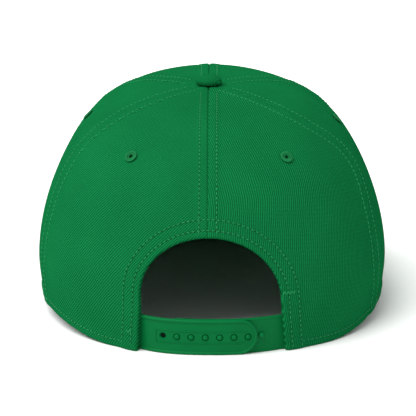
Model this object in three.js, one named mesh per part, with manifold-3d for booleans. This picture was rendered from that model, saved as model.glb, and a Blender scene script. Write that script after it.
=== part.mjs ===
// A snapback cap as it stands on a table: six crown panels, a covered button, stitched eyelets,
// a flat visor, a sweatband and a two-piece plastic snap strap across the arch at the back.
// Millimetres, +Z up, +Y towards the visor, +X towards the wearer's right hand.
// The origin is on the table, below the middle of the cap's outer box.
// A bearing is an angle seen from above: 0 in front, 90 on the wearer's right, 180 at the back.
// A level runs up the crown's outer face, from 0 at the rim to 1 at the top.

import * as THREE from "three";
import { mergeVertices } from "three/addons/utils/BufferGeometryUtils.js";
import Module from "manifold-3d";

const wasm = await Module();
wasm.setup();

// Crown
const CROWN_HALF_WIDTH = 85;
const CROWN_FRONT_REACH = 99;
const CROWN_BACK_REACH = 94;
const CROWN_HEIGHT = 107;
const PANEL_CLOTH = 1.8;
const SEAM_GAP = 0.3;
const SIDE_RISE = 6;
const SIDE_BEARING = 112;
const BACK_BEARING = 145;
const RISE_TURN = 4;
const PLAN_ROUNDNESS = 2.25;
const SEAM_RIDGE = 0.014;
const CROWN_LEAN = 1.6;
const LEAN_START = 20;
const LEAN_END = 42;

// The crown's sections from the rim to the top, as shares of the half width, the two reaches
// and the height. The rim's own heights follow the table and the visor.
const CROWN_SECTIONS = [
  { side: 1, front: 1, back: 1, sideUp: 0, frontUp: 0, backUp: 0 },
  { side: 1.018, front: 1, back: 1.006, sideUp: 0.259, frontUp: 0.324, backUp: 0.188 },
  { side: 0.972, front: 0.97, back: 0.97, sideUp: 0.475, frontUp: 0.553, backUp: 0.406 },
  { side: 0.87, front: 0.897, back: 0.87, sideUp: 0.683, frontUp: 0.768, backUp: 0.61 },
  { side: 0.724, front: 0.76, back: 0.71, sideUp: 0.843, frontUp: 0.917, backUp: 0.782 },
  { side: 0.51, front: 0.55, back: 0.495, sideUp: 0.95, frontUp: 1.002, backUp: 0.91 },
  { side: 0.26, front: 0.29, back: 0.25, sideUp: 0.996, frontUp: 1.012, backUp: 0.98 },
  { side: 0, front: 0, back: 0, sideUp: 1, frontUp: 1, backUp: 1 },
];

// The seams' bearings at the rim and at the button, with the panel that starts at each and
// how far across that panel its eyelet sits.
const CROWN_SEAMS = [
  { rim: 0, top: 0, panel: "panel_front_right", eyelet: 0.5 },
  { rim: 58, top: 60, panel: "panel_side_right", eyelet: 0.5 },
  { rim: 117, top: 136, panel: "panel_back_right", eyelet: 0.46 },
  { rim: 180, top: 180, panel: "panel_back_left", eyelet: 0.54 },
  { rim: 248, top: 231, panel: "panel_side_left", eyelet: 0.58 },
  { rim: 302, top: 300, panel: "panel_front_left", eyelet: 0.5 },
  { rim: 360, top: 360 },
];

// Arch at the back
const ARCH_HALF_WIDTH = 32.1;
const ARCH_STRAIGHT = 25.6;
const ARCH_DOME = 28.4;

// Visor
const VISOR_LENGTH = 70;
const VISOR_OVERHANG = 5.5;
const VISOR_THICKNESS = 3;
const VISOR_SLOPE = 0.1;
const VISOR_ARCH_RADIUS = 390;
const VISOR_CORNER_BEARING = 61;
const VISOR_CORNER = 2.4;
const VISOR_SHOULDER = 21;
const VISOR_SQUARENESS = 2.4;

// Sweatband
const BAND_HEIGHT = 30;
const BAND_CLOTH = 1.2;
const BAND_INSET = 1;

// What is sewn on or tucked under the crown keeps this gap to it.
const SEWN_GAP = 0.3;
const LAYER_GAP = 0.5;

// Button
const BUTTON_RADIUS = 6.4;
const BUTTON_HEIGHT = 5;
const BUTTON_SHANK_RADIUS = 2;
const BUTTON_SHANK_LENGTH = 3.5;
const BUTTON_CLEARANCE = 0.6;

// Eyelets
const EYELET_LEVEL = 0.565;
const EYELET_HOLE_RADIUS = 1;
const EYELET_TUBE_WALL = 0.9;
const EYELET_RING_WIDTH = 2.4;
const EYELET_PROUD = 0.7;

// Snap strap
const STRAP_HEIGHT = 17;
const STRAP_PLASTIC = 1;
const STRAP_TUCK = 12;
const STRAP_BOW = 3;
const STRAP_RIM_INSET = 0.3;
const STRAP_RIM_WIDTH = 1.1;
const STRAP_RIM_PROUD = 0.5;
const CHANNEL_INSET = 4;
const CHANNEL_LINE_WIDTH = 0.6;
const CHANNEL_LINE_PROUD = 0.25;
const CHANNEL_SETBACK = 7;
const SNAP_COUNT = 7;
const SNAP_PITCH = 6.45;
const SNAP_PEG_RADIUS = 1.3;
const SNAP_PEG_LIP = 0.2;
const SNAP_PEG_PROUD = 1.1;
const SNAP_CLEARANCE = 0.3;
const FIRST_PEG_ACROSS = 23.2;
const STRAP_END_MARGIN = 4.4;

// How finely the curved pieces are faceted
const PANEL_COLUMNS = 9;
const PANEL_ROWS = 13;
const ARCH_SEGMENTS = 12;
const VISOR_COLUMNS = 40;
const BAND_COLUMNS = 56;
const STRAP_COLUMNS = 18;
const STRAP_ROWS = 10;
const ROUND_SIDES = 14;
const SNAP_SIDES = 10;
const EMBED = 0.3;

const { degToRad, radToDeg, euclideanModulo, lerp, clamp, smoothstep } = THREE.MathUtils;
const QUARTER = Math.PI / 2;

// The crown's surface

// Where a bearing meets the rounded plan of the crown, with unit reaches.
function planDirection(bearing) {
  const x = Math.sin(bearing);
  const y = Math.cos(bearing);
  const size = (Math.abs(x) ** PLAN_ROUNDNESS + Math.abs(y) ** PLAN_ROUNDNESS) ** (-1 / PLAN_ROUNDNESS);
  return { x: x * size, y: y * size };
}

// The seams drift to even spacing on their way up.
function seamBearing(index, level) {
  const seam = CROWN_SEAMS[index];
  return degToRad(lerp(seam.rim, seam.top, smoothstep(level, 0.4, 1)));
}

// A seam stands a little out of the crown, and the middle of each panel lies a little in.
function seamRidge(bearing, level) {
  const turned = euclideanModulo(bearing, 2 * Math.PI);
  const next = CROWN_SEAMS.findIndex((seam, i) => i > 0 && turned <= seamBearing(i, level));
  const from = seamBearing(next - 1, level);
  const to = seamBearing(next, level);
  const across = (turned - from) / (to - from);
  return 1 + SEAM_RIDGE * Math.min(1, level / 0.4) * ((2 * across - 1) ** 2 - 1 / 3);
}

// The height of the visor's top face over its place on the plan.
function visorTop(x, y, rootHeight) {
  return rootHeight - VISOR_SLOPE * (y - CROWN_FRONT_REACH) - x ** 2 / (2 * VISOR_ARCH_RADIUS);
}

// The visor's outer edge, from the left corner at -1 to the right corner at 1.
function visorEdge(across) {
  const corner = planDirection(degToRad(VISOR_CORNER_BEARING));
  const cornerY = corner.y * CROWN_FRONT_REACH;
  const halfWidth = CROWN_HALF_WIDTH + VISOR_OVERHANG;
  const shoulderY = CROWN_FRONT_REACH - VISOR_SHOULDER;
  const share = Math.abs(across);
  const bend = 0.8;
  if (share > bend) {
    const flank = new THREE.QuadraticBezierCurve(
      new THREE.Vector2(halfWidth, shoulderY),
      new THREE.Vector2(halfWidth, lerp(cornerY, shoulderY, 0.45)),
      new THREE.Vector2(corner.x * CROWN_HALF_WIDTH + VISOR_CORNER, cornerY),
    );
    const p = flank.getPoint((share - bend) / (1 - bend));
    return { x: Math.sign(across) * p.x, y: p.y };
  }
  const s = Math.sin((share / bend) * QUARTER);
  const c = Math.cos((share / bend) * QUARTER);
  const size = (s ** VISOR_SQUARENESS + c ** VISOR_SQUARENESS) ** (-1 / VISOR_SQUARENESS);
  return {
    x: Math.sign(across) * halfWidth * s * size,
    y: shoulderY + (VISOR_SHOULDER + VISOR_LENGTH) * c * size,
  };
}

// The visor's root stands so high that the visor's lowest edge just touches the table.
function findVisorRootHeight() {
  const samples = 10 * VISOR_COLUMNS;
  let lowest = Infinity;
  for (let i = 0; i <= samples; i++) {
    const edge = visorEdge((2 * i) / samples - 1);
    lowest = Math.min(lowest, visorTop(edge.x, edge.y, 0) - VISOR_THICKNESS);
  }
  return -lowest;
}
const VISOR_ROOT_HEIGHT = findVisorRootHeight();

// The rim is flat on the table at the back, rises to the sides, sooner on the wearer's left, and
// follows the visor in front, clear of it at the wall's inner face, where the visor stands highest.
function rimHeight(bearing) {
  const fromFront = radToDeg(Math.acos(clamp(Math.cos(bearing), -1, 1)));
  const turned = fromFront + RISE_TURN * Math.sign(Math.sin(bearing));
  const onSide = SIDE_RISE * (1 - smoothstep(turned, SIDE_BEARING, BACK_BEARING));
  const direction = planDirection(bearing);
  const x = direction.x * (CROWN_HALF_WIDTH - PANEL_CLOTH);
  const y = direction.y * (CROWN_FRONT_REACH - PANEL_CLOTH);
  const onVisor = visorTop(x, y, VISOR_ROOT_HEIGHT) + SEWN_GAP;
  return lerp(onVisor, onSide, smoothstep(fromFront, VISOR_CORNER_BEARING, 95));
}

function sectionPoint(index, bearing) {
  const section = CROWN_SECTIONS[index];
  const direction = planDirection(bearing);
  const ridge = seamRidge(bearing, index / (CROWN_SECTIONS.length - 1));
  const ahead = Math.max(0, Math.cos(bearing)) ** 1.5;
  const behind = Math.max(0, -Math.cos(bearing)) ** 1.5;
  const reach = direction.y > 0 ? CROWN_FRONT_REACH * section.front : CROWN_BACK_REACH * section.back;
  const up = section.sideUp +
    (section.frontUp - section.sideUp) * ahead +
    (section.backUp - section.sideUp) * behind;
  return new THREE.Vector3(
    CROWN_HALF_WIDTH * section.side * direction.x * ridge,
    reach * direction.y * ridge,
    index === 0 ? rimHeight(bearing) : CROWN_HEIGHT * up,
  );
}

// How far the middle of the crown leans to the wearer's left. The sides and the rim stay.
function leanAt(x, z) {
  const side = clamp(x / CROWN_HALF_WIDTH, -1, 1);
  return CROWN_LEAN * smoothstep(z, LEAN_START, LEAN_END) * (1 - side ** 2) ** 3;
}

// The outer face of the crown, a smooth curve up through the sections at each bearing.
function crownPoint(bearing, level) {
  const last = CROWN_SECTIONS.length - 1;
  const at = clamp(level, 0, 1) * last;
  const index = Math.min(Math.floor(at), last - 1);
  const t = at - index;
  const start = sectionPoint(index, bearing);
  const end = sectionPoint(index + 1, bearing);
  const before = index > 0 ? sectionPoint(index - 1, bearing) : start.clone().multiplyScalar(2).sub(end);
  const after = index + 2 <= last ? sectionPoint(index + 2, bearing) : sectionPoint(last - 1, bearing + Math.PI);
  const spline = (a, b, c, d) =>
    0.5 * (2 * b + (c - a) * t + (2 * a - 5 * b + 4 * c - d) * t ** 2 + (3 * b - a - 3 * c + d) * t ** 3);
  const x = spline(before.x, start.x, end.x, after.x);
  const z = spline(before.z, start.z, end.z, after.z);
  return new THREE.Vector3(x - leanAt(x, z), spline(before.y, start.y, end.y, after.y), z);
}

function crownNormal(bearing, level) {
  const step = 1e-3;
  const safe = clamp(level, step, 1 - 4 * step);
  const up = crownPoint(bearing, safe + step).sub(crownPoint(bearing, safe - step));
  const round = crownPoint(bearing + step, safe).sub(crownPoint(bearing - step, safe));
  return up.cross(round).normalize();
}

// A point under the crown's outer face. Near the rim the depth is measured level, so that
// bottom edges lie flat.
function underCrown(bearing, level, depth) {
  const normal = crownNormal(bearing, level);
  normal.z *= smoothstep(level, 0, 0.2);
  return crownPoint(bearing, level).addScaledVector(normal.normalize(), -depth);
}

// The lowest level at which a point of the crown passes a test.
function levelWhere(bearing, passes) {
  let low = 0;
  let high = 1;
  for (let i = 0; i < 24; i++) {
    const middle = (low + high) / 2;
    if (passes(crownPoint(bearing, middle))) high = middle;
    else low = middle;
  }
  return high;
}

function levelAtHeight(bearing, height) {
  if (height <= 0) return 0;
  return levelWhere(bearing, (p) => p.z >= rimHeight(bearing) + height);
}

function levelAtRadius(bearing, radius) {
  return levelWhere(bearing, (p) => Math.hypot(p.x + CROWN_LEAN, p.y) <= radius);
}

// The bearing of the point of the crown's back that lies this far to the wearer's right.
function bearingAcross(across) {
  const x = across / CROWN_HALF_WIDTH;
  const y = -((1 - Math.abs(x) ** PLAN_ROUNDNESS) ** (1 / PLAN_ROUNDNESS));
  return euclideanModulo(Math.atan2(x, y), 2 * Math.PI);
}

// Solids

// A closed slab between two grids of points. across runs clockwise seen from above and up runs
// upwards, so that the outer grid faces out of the crown.
function slab(outer, inner, columns, rows) {
  const positions = [];
  const index = [];
  const stride = rows + 1;
  for (const face of [outer, inner]) {
    for (let i = 0; i <= columns; i++) {
      for (let j = 0; j <= rows; j++) positions.push(...face(i / columns, j / rows).toArray());
    }
  }
  const inside = (columns + 1) * stride;
  const quad = (a, b, c, d) => index.push(a, b, c, a, c, d);
  for (let i = 0; i < columns; i++) {
    const low = i * stride;
    const high = low + rows;
    for (let a = low; a < high; a++) {
      quad(a, a + 1, a + stride + 1, a + stride);
      quad(inside + a, inside + a + stride, inside + a + stride + 1, inside + a + 1);
    }
    quad(low, low + stride, inside + low + stride, inside + low);
    quad(high, inside + high, inside + high + stride, high + stride);
  }
  for (let first = 0; first < rows; first++) {
    const last = columns * stride + first;
    quad(first, inside + first, inside + first + 1, first + 1);
    quad(last, last + 1, inside + last + 1, inside + last);
  }
  const geometry = new THREE.BufferGeometry();
  geometry.setAttribute("position", new THREE.Float32BufferAttribute(positions, 3));
  geometry.setIndex(index);
  return geometry;
}

function toSolid(geometry) {
  const bare = geometry.clone();
  bare.deleteAttribute("normal");
  bare.deleteAttribute("uv");
  const merged = mergeVertices(bare, 1e-4);
  return new wasm.Manifold(new wasm.Mesh({
    numProp: 3,
    vertProperties: new Float32Array(merged.attributes.position.array),
    triVerts: new Uint32Array(merged.index.array),
  }));
}

function toGeometry(solid) {
  const mesh = solid.getMesh();
  const geometry = new THREE.BufferGeometry();
  geometry.setAttribute("position", new THREE.Float32BufferAttribute(mesh.vertProperties, 3));
  geometry.setIndex(new THREE.BufferAttribute(mesh.triVerts, 1));
  geometry.computeVertexNormals();
  return geometry;
}

// A turned piece with its axis along a direction. The profile's rows are a radius and a height.
function turned(profile, sides, place, direction) {
  const points = profile.map(([radius, height]) => new THREE.Vector2(radius, height));
  const turn = new THREE.Quaternion().setFromUnitVectors(new THREE.Vector3(0, 1, 0), direction);
  const matrix = new THREE.Matrix4().compose(place, turn, new THREE.Vector3(1, 1, 1));
  return new THREE.LatheGeometry(points, sides).applyMatrix4(matrix);
}

const plug = (radius, low, high) => [[0, low], [radius, low], [radius, high], [0, high]];

// Crown panels

const CROWN_HOLE_RADIUS = BUTTON_SHANK_RADIUS + BUTTON_CLEARANCE;
const EYELET_TUBE_RADIUS = EYELET_HOLE_RADIUS + EYELET_TUBE_WALL;

function panelSlab(index) {
  const place = (across, up, depth) => {
    const top = levelAtRadius(seamBearing(index, 1), CROWN_HOLE_RADIUS);
    const level = top * up;
    const from = seamBearing(index, level);
    const to = seamBearing(index + 1, level);
    const edge = crownPoint(from, level);
    const gap = SEAM_GAP / 2 / Math.hypot(edge.x, edge.y);
    return underCrown(lerp(from + gap, to - gap, across), level, depth);
  };
  return slab(
    (across, up) => place(across, up, 0),
    (across, up) => place(across, up, PANEL_CLOTH),
    PANEL_COLUMNS,
    PANEL_ROWS,
  );
}

// The arch as a prism that runs back through the crown and leans with it.
function archPrism() {
  const upright = new THREE.Shape();
  upright.moveTo(-ARCH_HALF_WIDTH, -CROWN_HEIGHT);
  upright.lineTo(ARCH_HALF_WIDTH, -CROWN_HEIGHT);
  upright.lineTo(ARCH_HALF_WIDTH, ARCH_STRAIGHT);
  upright.absellipse(0, ARCH_STRAIGHT, ARCH_HALF_WIDTH, ARCH_DOME, 0, Math.PI, false);
  const outline = new THREE.Shape(upright.getPoints(ARCH_SEGMENTS));
  outline.closePath();
  const depth = 2 * CROWN_BACK_REACH;
  const prism = new THREE.ExtrudeGeometry(outline, { depth, bevelEnabled: false }).rotateX(QUARTER);
  const place = prism.attributes.position;
  for (let i = 0; i < place.count; i++) place.setX(i, place.getX(i) - leanAt(place.getX(i), place.getZ(i)));
  return prism;
}

function eyeletBearing(index) {
  const [from, to] = [index, index + 1].map((seam) => seamBearing(seam, EYELET_LEVEL));
  return lerp(from, to, CROWN_SEAMS[index].eyelet);
}

function turnedInPanel(index, profile, sides) {
  const bearing = eyeletBearing(index);
  return turned(profile, sides, crownPoint(bearing, EYELET_LEVEL), crownNormal(bearing, EYELET_LEVEL));
}

function panelGeometry(index) {
  const eyeletHole = plug(EYELET_TUBE_RADIUS + SEWN_GAP, -2 * PANEL_CLOTH, PANEL_CLOTH);
  let solid = toSolid(panelSlab(index)).subtract(toSolid(turnedInPanel(index, eyeletHole, ROUND_SIDES)));
  const meetsBackSeam = CROWN_SEAMS[index].rim === 180 || CROWN_SEAMS[index + 1].rim === 180;
  if (meetsBackSeam) solid = solid.subtract(toSolid(archPrism()));
  return toGeometry(solid);
}

// A stitched eyelet: a padded ring of thread on the cloth, with a tube of thread through it.
function eyeletGeometry(index) {
  const rim = EYELET_HOLE_RADIUS + EYELET_RING_WIDTH;
  const top = SEWN_GAP + EYELET_PROUD;
  const profile = [
    [EYELET_HOLE_RADIUS, -PANEL_CLOTH],
    [EYELET_TUBE_RADIUS, -PANEL_CLOTH],
    [EYELET_TUBE_RADIUS, SEWN_GAP],
    [rim, SEWN_GAP],
    [rim - 0.1 * EYELET_RING_WIDTH, lerp(SEWN_GAP, top, 0.6)],
    [rim - 0.4 * EYELET_RING_WIDTH, top],
    [EYELET_HOLE_RADIUS + 0.2 * EYELET_RING_WIDTH, lerp(SEWN_GAP, top, 0.8)],
    [EYELET_HOLE_RADIUS, SEWN_GAP],
    [EYELET_HOLE_RADIUS, -PANEL_CLOTH],
  ];
  return turnedInPanel(index, profile, ROUND_SIDES);
}

// Button

// The button sits on the crown's front, which rises highest under its edge.
function buttonGeometry() {
  const seat = crownPoint(0, levelAtRadius(0, BUTTON_RADIUS)).z;
  const wall = 0.2 * BUTTON_HEIGHT;
  const dome = [0, 0.25, 0.5, 0.75].map((share) => [
    BUTTON_RADIUS * Math.cos(share * QUARTER),
    SEWN_GAP + lerp(wall, BUTTON_HEIGHT, Math.sin(share * QUARTER)),
  ]);
  const profile = [
    [0, -BUTTON_SHANK_LENGTH],
    [BUTTON_SHANK_RADIUS, -BUTTON_SHANK_LENGTH],
    [BUTTON_SHANK_RADIUS, SEWN_GAP],
    [0.93 * BUTTON_RADIUS, SEWN_GAP],
    ...dome,
    [0, SEWN_GAP + BUTTON_HEIGHT],
  ];
  const place = new THREE.Vector3(-CROWN_LEAN, 0, seat);
  return turned(profile, ROUND_SIDES, place, new THREE.Vector3(0, 0, 1));
}

// Visor

function visorGeometry() {
  const place = (across, outwards, depth) => {
    const root = underCrown(degToRad(lerp(-1, 1, across) * VISOR_CORNER_BEARING), 0, PANEL_CLOTH);
    const edge = visorEdge(2 * across - 1);
    const x = lerp(root.x, edge.x, outwards);
    const y = lerp(root.y, edge.y, outwards);
    return new THREE.Vector3(x, y, visorTop(x, y, VISOR_ROOT_HEIGHT) - depth);
  };
  return slab(
    (across, outwards) => place(across, outwards, VISOR_THICKNESS),
    (across, outwards) => place(across, outwards, 0),
    VISOR_COLUMNS,
    5,
  );
}

// Sweatband and snap strap

// How far under the crown's outer face the inner layers lie, and where a strap starts.
const FIRST_LAYER = PANEL_CLOTH + LAYER_GAP;
const SECOND_LAYER = FIRST_LAYER + STRAP_PLASTIC + SEWN_GAP;
const STRAP_ROOT_ACROSS = ARCH_HALF_WIDTH + STRAP_TUCK;

// The band runs round inside the crown from one side of the arch to the other, and covers the
// straps' tucked ends.
function sweatbandGeometry() {
  const start = bearingAcross(-ARCH_HALF_WIDTH - BAND_INSET) - 2 * Math.PI;
  const end = bearingAcross(ARCH_HALF_WIDTH + BAND_INSET);
  const place = (across, up, depth) => {
    const bearing = lerp(start, end, across);
    const pastEnd = Math.min(bearing - start, end - bearing) * CROWN_BACK_REACH;
    const layer = lerp(SECOND_LAYER, FIRST_LAYER, smoothstep(pastEnd, STRAP_TUCK, 3 * STRAP_TUCK));
    return underCrown(bearing, levelAtHeight(bearing, BAND_HEIGHT * up), layer + depth);
  };
  return slab(
    (across, up) => place(across, up, 0),
    (across, up) => place(across, up, BAND_CLOTH),
    BAND_COLUMNS,
    3,
  );
}

// The left strap lies outside, and the right one steps in behind it.
const LEFT_STRAP = {
  root: -STRAP_ROOT_ACROSS,
  tip: FIRST_PEG_ACROSS - SNAP_PITCH + STRAP_END_MARGIN,
  layer: () => FIRST_LAYER,
};
const RIGHT_STRAP = {
  root: STRAP_ROOT_ACROSS,
  tip: FIRST_PEG_ACROSS - (SNAP_COUNT - 1) * SNAP_PITCH - STRAP_END_MARGIN,
  layer: (across) =>
    lerp(SECOND_LAYER, FIRST_LAYER, smoothstep(across, FIRST_PEG_ACROSS, ARCH_HALF_WIDTH + 3)),
};

// A point of a strap, at a distance to the wearer's right and a height above the rim, that
// stands proud of the strap's outer face. Both straps bow out a little across the arch.
function strapPoint(strap, across, height, proud) {
  const bearing = bearingAcross(across);
  const bow = STRAP_BOW * Math.max(0, 1 - (across / ARCH_HALF_WIDTH) ** 2);
  return underCrown(bearing, levelAtHeight(bearing, height), strap.layer(across) - bow - proud);
}

const towardsTip = (strap) => Math.sign(strap.tip - strap.root);

function strapBody(strap) {
  const half = STRAP_HEIGHT / 2;
  const place = (across, up, depth) => {
    const angle = lerp(-QUARTER, QUARTER, up);
    const end = strap.tip - towardsTip(strap) * half * (1 - Math.cos(angle));
    const [right, left] = strap.root > end ? [strap.root, end] : [end, strap.root];
    return strapPoint(strap, lerp(right, left, across), half + half * Math.sin(angle), -depth);
  };
  return slab(
    (across, up) => place(across, up, 0),
    (across, up) => place(across, up, STRAP_PLASTIC),
    STRAP_COLUMNS,
    STRAP_ROWS,
  );
}

// A raised line on a strap: along the bottom from its start, round the tip and back along the
// top, an inset away from the strap's edge.
function raisedLine(strap, start, inset, width, proud) {
  const half = STRAP_HEIGHT / 2;
  const centre = strap.tip - towardsTip(strap) * half;
  const place = (along, over, out) => {
    const radius = half - inset - width * over;
    const third = clamp(Math.floor(3 * along), 0, 2);
    const share = 3 * along - third;
    if (third === 0) return strapPoint(strap, lerp(start, centre, share), half - radius, out);
    if (third === 2) return strapPoint(strap, lerp(centre, start, share), half + radius, out);
    const angle = lerp(-QUARTER, QUARTER, share);
    const across = centre + towardsTip(strap) * radius * Math.cos(angle);
    return strapPoint(strap, across, half + radius * Math.sin(angle), out);
  };
  const clockwise = (along) => (towardsTip(strap) > 0 ? 1 - along : along);
  return slab(
    (along, over) => place(clockwise(along), over, proud),
    (along, over) => place(clockwise(along), over, -EMBED),
    3 * STRAP_ROWS,
    1,
  );
}

function turnedInStrap(strap, across, profile) {
  const place = strapPoint(strap, across, STRAP_HEIGHT / 2, 0);
  const direction = strapPoint(strap, across, STRAP_HEIGHT / 2, 1).sub(place).normalize();
  return turned(profile, SNAP_SIDES, place, direction);
}

const snapPlaces = (first) => Array.from({ length: SNAP_COUNT }, (_, i) => first - i * SNAP_PITCH);

function leftStrapGeometry() {
  const rimStart = -ARCH_HALF_WIDTH + SEWN_GAP;
  const channelStart = -ARCH_HALF_WIDTH + CHANNEL_SETBACK;
  let solid = toSolid(strapBody(LEFT_STRAP))
    .add(toSolid(raisedLine(LEFT_STRAP, rimStart, STRAP_RIM_INSET, STRAP_RIM_WIDTH, STRAP_RIM_PROUD)))
    .add(toSolid(raisedLine(
      LEFT_STRAP, channelStart, CHANNEL_INSET, CHANNEL_LINE_WIDTH, CHANNEL_LINE_PROUD)));
  const hole = plug(SNAP_PEG_RADIUS + SNAP_PEG_LIP + SNAP_CLEARANCE, -2 * STRAP_PLASTIC, STRAP_PLASTIC);
  for (const across of snapPlaces(FIRST_PEG_ACROSS - SNAP_PITCH)) {
    solid = solid.subtract(toSolid(turnedInStrap(LEFT_STRAP, across, hole)));
  }
  return toGeometry(solid);
}

function rightStrapGeometry() {
  const top = SEWN_GAP + STRAP_PLASTIC + SNAP_PEG_PROUD;
  const peg = [
    [0, -EMBED],
    [SNAP_PEG_RADIUS, -EMBED],
    [SNAP_PEG_RADIUS, lerp(top, 0, 0.3)],
    [SNAP_PEG_RADIUS + SNAP_PEG_LIP, lerp(top, 0, 0.2)],
    [0.7 * SNAP_PEG_RADIUS, top],
    [0, top],
  ];
  let solid = toSolid(strapBody(RIGHT_STRAP));
  for (const across of snapPlaces(FIRST_PEG_ACROSS)) {
    solid = solid.add(toSolid(turnedInStrap(RIGHT_STRAP, across, peg)));
  }
  return toGeometry(solid);
}

// Materials and assembly

const twill = new THREE.MeshStandardMaterial({ color: 0x12703a, roughness: 0.95, metalness: 0 });
const thread = new THREE.MeshStandardMaterial({ color: 0x157d42, roughness: 0.8, metalness: 0 });
const plastic = new THREE.MeshStandardMaterial({ color: 0x0d6b37, roughness: 0.45, metalness: 0 });
const bandCloth = new THREE.MeshStandardMaterial({ color: 0x1d211f, roughness: 0.95, metalness: 0 });

function named(name, geometry, material) {
  const mesh = new THREE.Mesh(geometry, material);
  mesh.name = name;
  return mesh;
}

const cap = new THREE.Group();
CROWN_SEAMS.forEach(({ panel }, index) => {
  if (!panel) return;
  cap.add(named(panel, panelGeometry(index), twill));
  cap.add(named(panel.replace("panel", "eyelet"), eyeletGeometry(index), thread));
});
cap.add(named("button", buttonGeometry(), twill));
cap.add(named("visor", visorGeometry(), twill));
cap.add(named("sweatband", sweatbandGeometry(), bandCloth));
cap.add(named("strap_left", leftStrapGeometry(), plastic));
cap.add(named("strap_right", rightStrapGeometry(), plastic));

const box = new THREE.Box3().setFromObject(cap);
cap.position.set(0, -(box.min.y + box.max.y) / 2, 0);

const part = new THREE.Group();
part.add(cap);

export default part;
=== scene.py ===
"""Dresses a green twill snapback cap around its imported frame. Sizes are in metres.

+Z is up, +Y points towards the visor and +X towards the wearer's right hand.
A bearing is an angle seen from above: 0 in front, a quarter turn on the wearer's right, half a
turn at the back. A level runs up the crown's outer face, from 0 at the rim to 1 at the top.
"""

from __future__ import annotations

import logging
import math
from dataclasses import dataclass, field
from enum import Enum
from typing import Any, Callable, Iterable, Sequence

import bmesh
import bpy
from mathutils import Matrix, Vector, noise
from mathutils.bvhtree import BVHTree
from mathutils.kdtree import KDTree

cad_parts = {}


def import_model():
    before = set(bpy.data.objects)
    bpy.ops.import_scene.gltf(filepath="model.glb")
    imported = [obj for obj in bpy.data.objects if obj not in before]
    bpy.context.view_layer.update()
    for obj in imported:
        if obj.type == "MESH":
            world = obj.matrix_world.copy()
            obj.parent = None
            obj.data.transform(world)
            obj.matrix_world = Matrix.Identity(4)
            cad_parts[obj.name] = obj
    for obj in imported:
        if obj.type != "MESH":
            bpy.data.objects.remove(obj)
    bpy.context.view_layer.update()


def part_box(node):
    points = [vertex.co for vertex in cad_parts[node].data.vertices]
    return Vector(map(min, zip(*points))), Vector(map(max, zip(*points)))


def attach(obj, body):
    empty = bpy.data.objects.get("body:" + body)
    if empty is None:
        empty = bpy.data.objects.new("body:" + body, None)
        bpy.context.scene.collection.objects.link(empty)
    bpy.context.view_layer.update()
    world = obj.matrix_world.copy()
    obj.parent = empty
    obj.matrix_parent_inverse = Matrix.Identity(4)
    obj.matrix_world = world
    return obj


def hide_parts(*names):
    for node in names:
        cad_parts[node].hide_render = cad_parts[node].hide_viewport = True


log = logging.getLogger("cap")

MM = 0.001
TAU = 2 * math.pi
QUARTER = math.pi / 2
BODY = "root"
CLOTH_UV = "cloth"

Station = tuple[float, float]
Profile = tuple[Station, ...]
Place = Callable[[float, float], Vector]
Spot = tuple[Vector, Vector]
Stitch = tuple[Vector, Vector, Vector]
Colour = tuple[float, ...]


class Side(Enum):
    """A side of the cap, as the sign of X."""

    LEFT = -1
    RIGHT = 1


class Slot(Enum):
    """The record's material slots."""

    TWILL = "twill"
    THREAD = "thread"
    BAND = "band_cloth"
    PLASTIC = "strap_plastic"


def lerp(low: float, high: float, share: float) -> float:
    """The value at a share of the way from low to high."""
    return low + (high - low) * share


def clamp(value: float, low: float = 0.0, high: float = 1.0) -> float:
    """The value kept between low and high."""
    return max(low, min(high, value))


def smooth(value: float, start: float, end: float) -> float:
    """A soft step from 0 at start to 1 at end."""
    share = clamp((value - start) / (end - start))
    return share * share * (3 - 2 * share)


def bump_at(value: float, centre: float, width: float) -> float:
    """A soft bump of height 1 round a centre."""
    return math.exp(-(((value - centre) / width) ** 2))


def eased(share: float, start: float, end: float) -> float:
    """A share that runs from 0 to 1 with the given slopes at its two ends."""
    cubic = share**3 * (start + end - 2)
    return cubic + share**2 * (3 - 2 * start - end) + share * start


def srgb(red: int, green: int, blue: int) -> Colour:
    """A screen colour of 0 to 255 as a linear colour.

    Args:
        red: The red value.
        green: The green value.
        blue: The blue value.

    Returns:
        The linear red, green, blue and an alpha of 1.
    """

    def linear(value: int) -> float:
        """One channel in linear light."""
        share = value / 255
        return share / 12.92 if share <= 0.04045 else ((share + 0.055) / 1.055) ** 2.4

    return linear(red), linear(green), linear(blue), 1.0


@dataclass(frozen=True)
class Section:
    """One section of the crown, as shares of its size.

    Attributes:
        side: The share of the half width.
        front: The share of the reach in front.
        back: The share of the reach behind.
        side_up: How high the section lies at the sides, as a share of the height.
        front_up: How high it lies in front.
        back_up: How high it lies behind.
    """

    side: float
    front: float
    back: float
    side_up: float
    front_up: float
    back_up: float


@dataclass(frozen=True)
class Seam:
    """A crown seam's bearings at the rim and top, and the panel that starts there.

    Attributes:
        rim: The seam's bearing at the rim, in degrees.
        top: Its bearing at the top.
        panel: The panel that starts at the seam, or nothing at the turn's end.
        eyelet: How far across that panel its eyelet sits.
        grain: How far that panel's twill leans off the panel's middle line, in degrees.
        valley: How deep the seam lies, as a share of the deepest.
        swing: How far the seam swings out of its path at half height, in degrees.
    """

    rim: float
    top: float
    panel: str = ""
    eyelet: float = 0.5
    grain: float = 27
    valley: float = 0.35
    swing: float = 0


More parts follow.
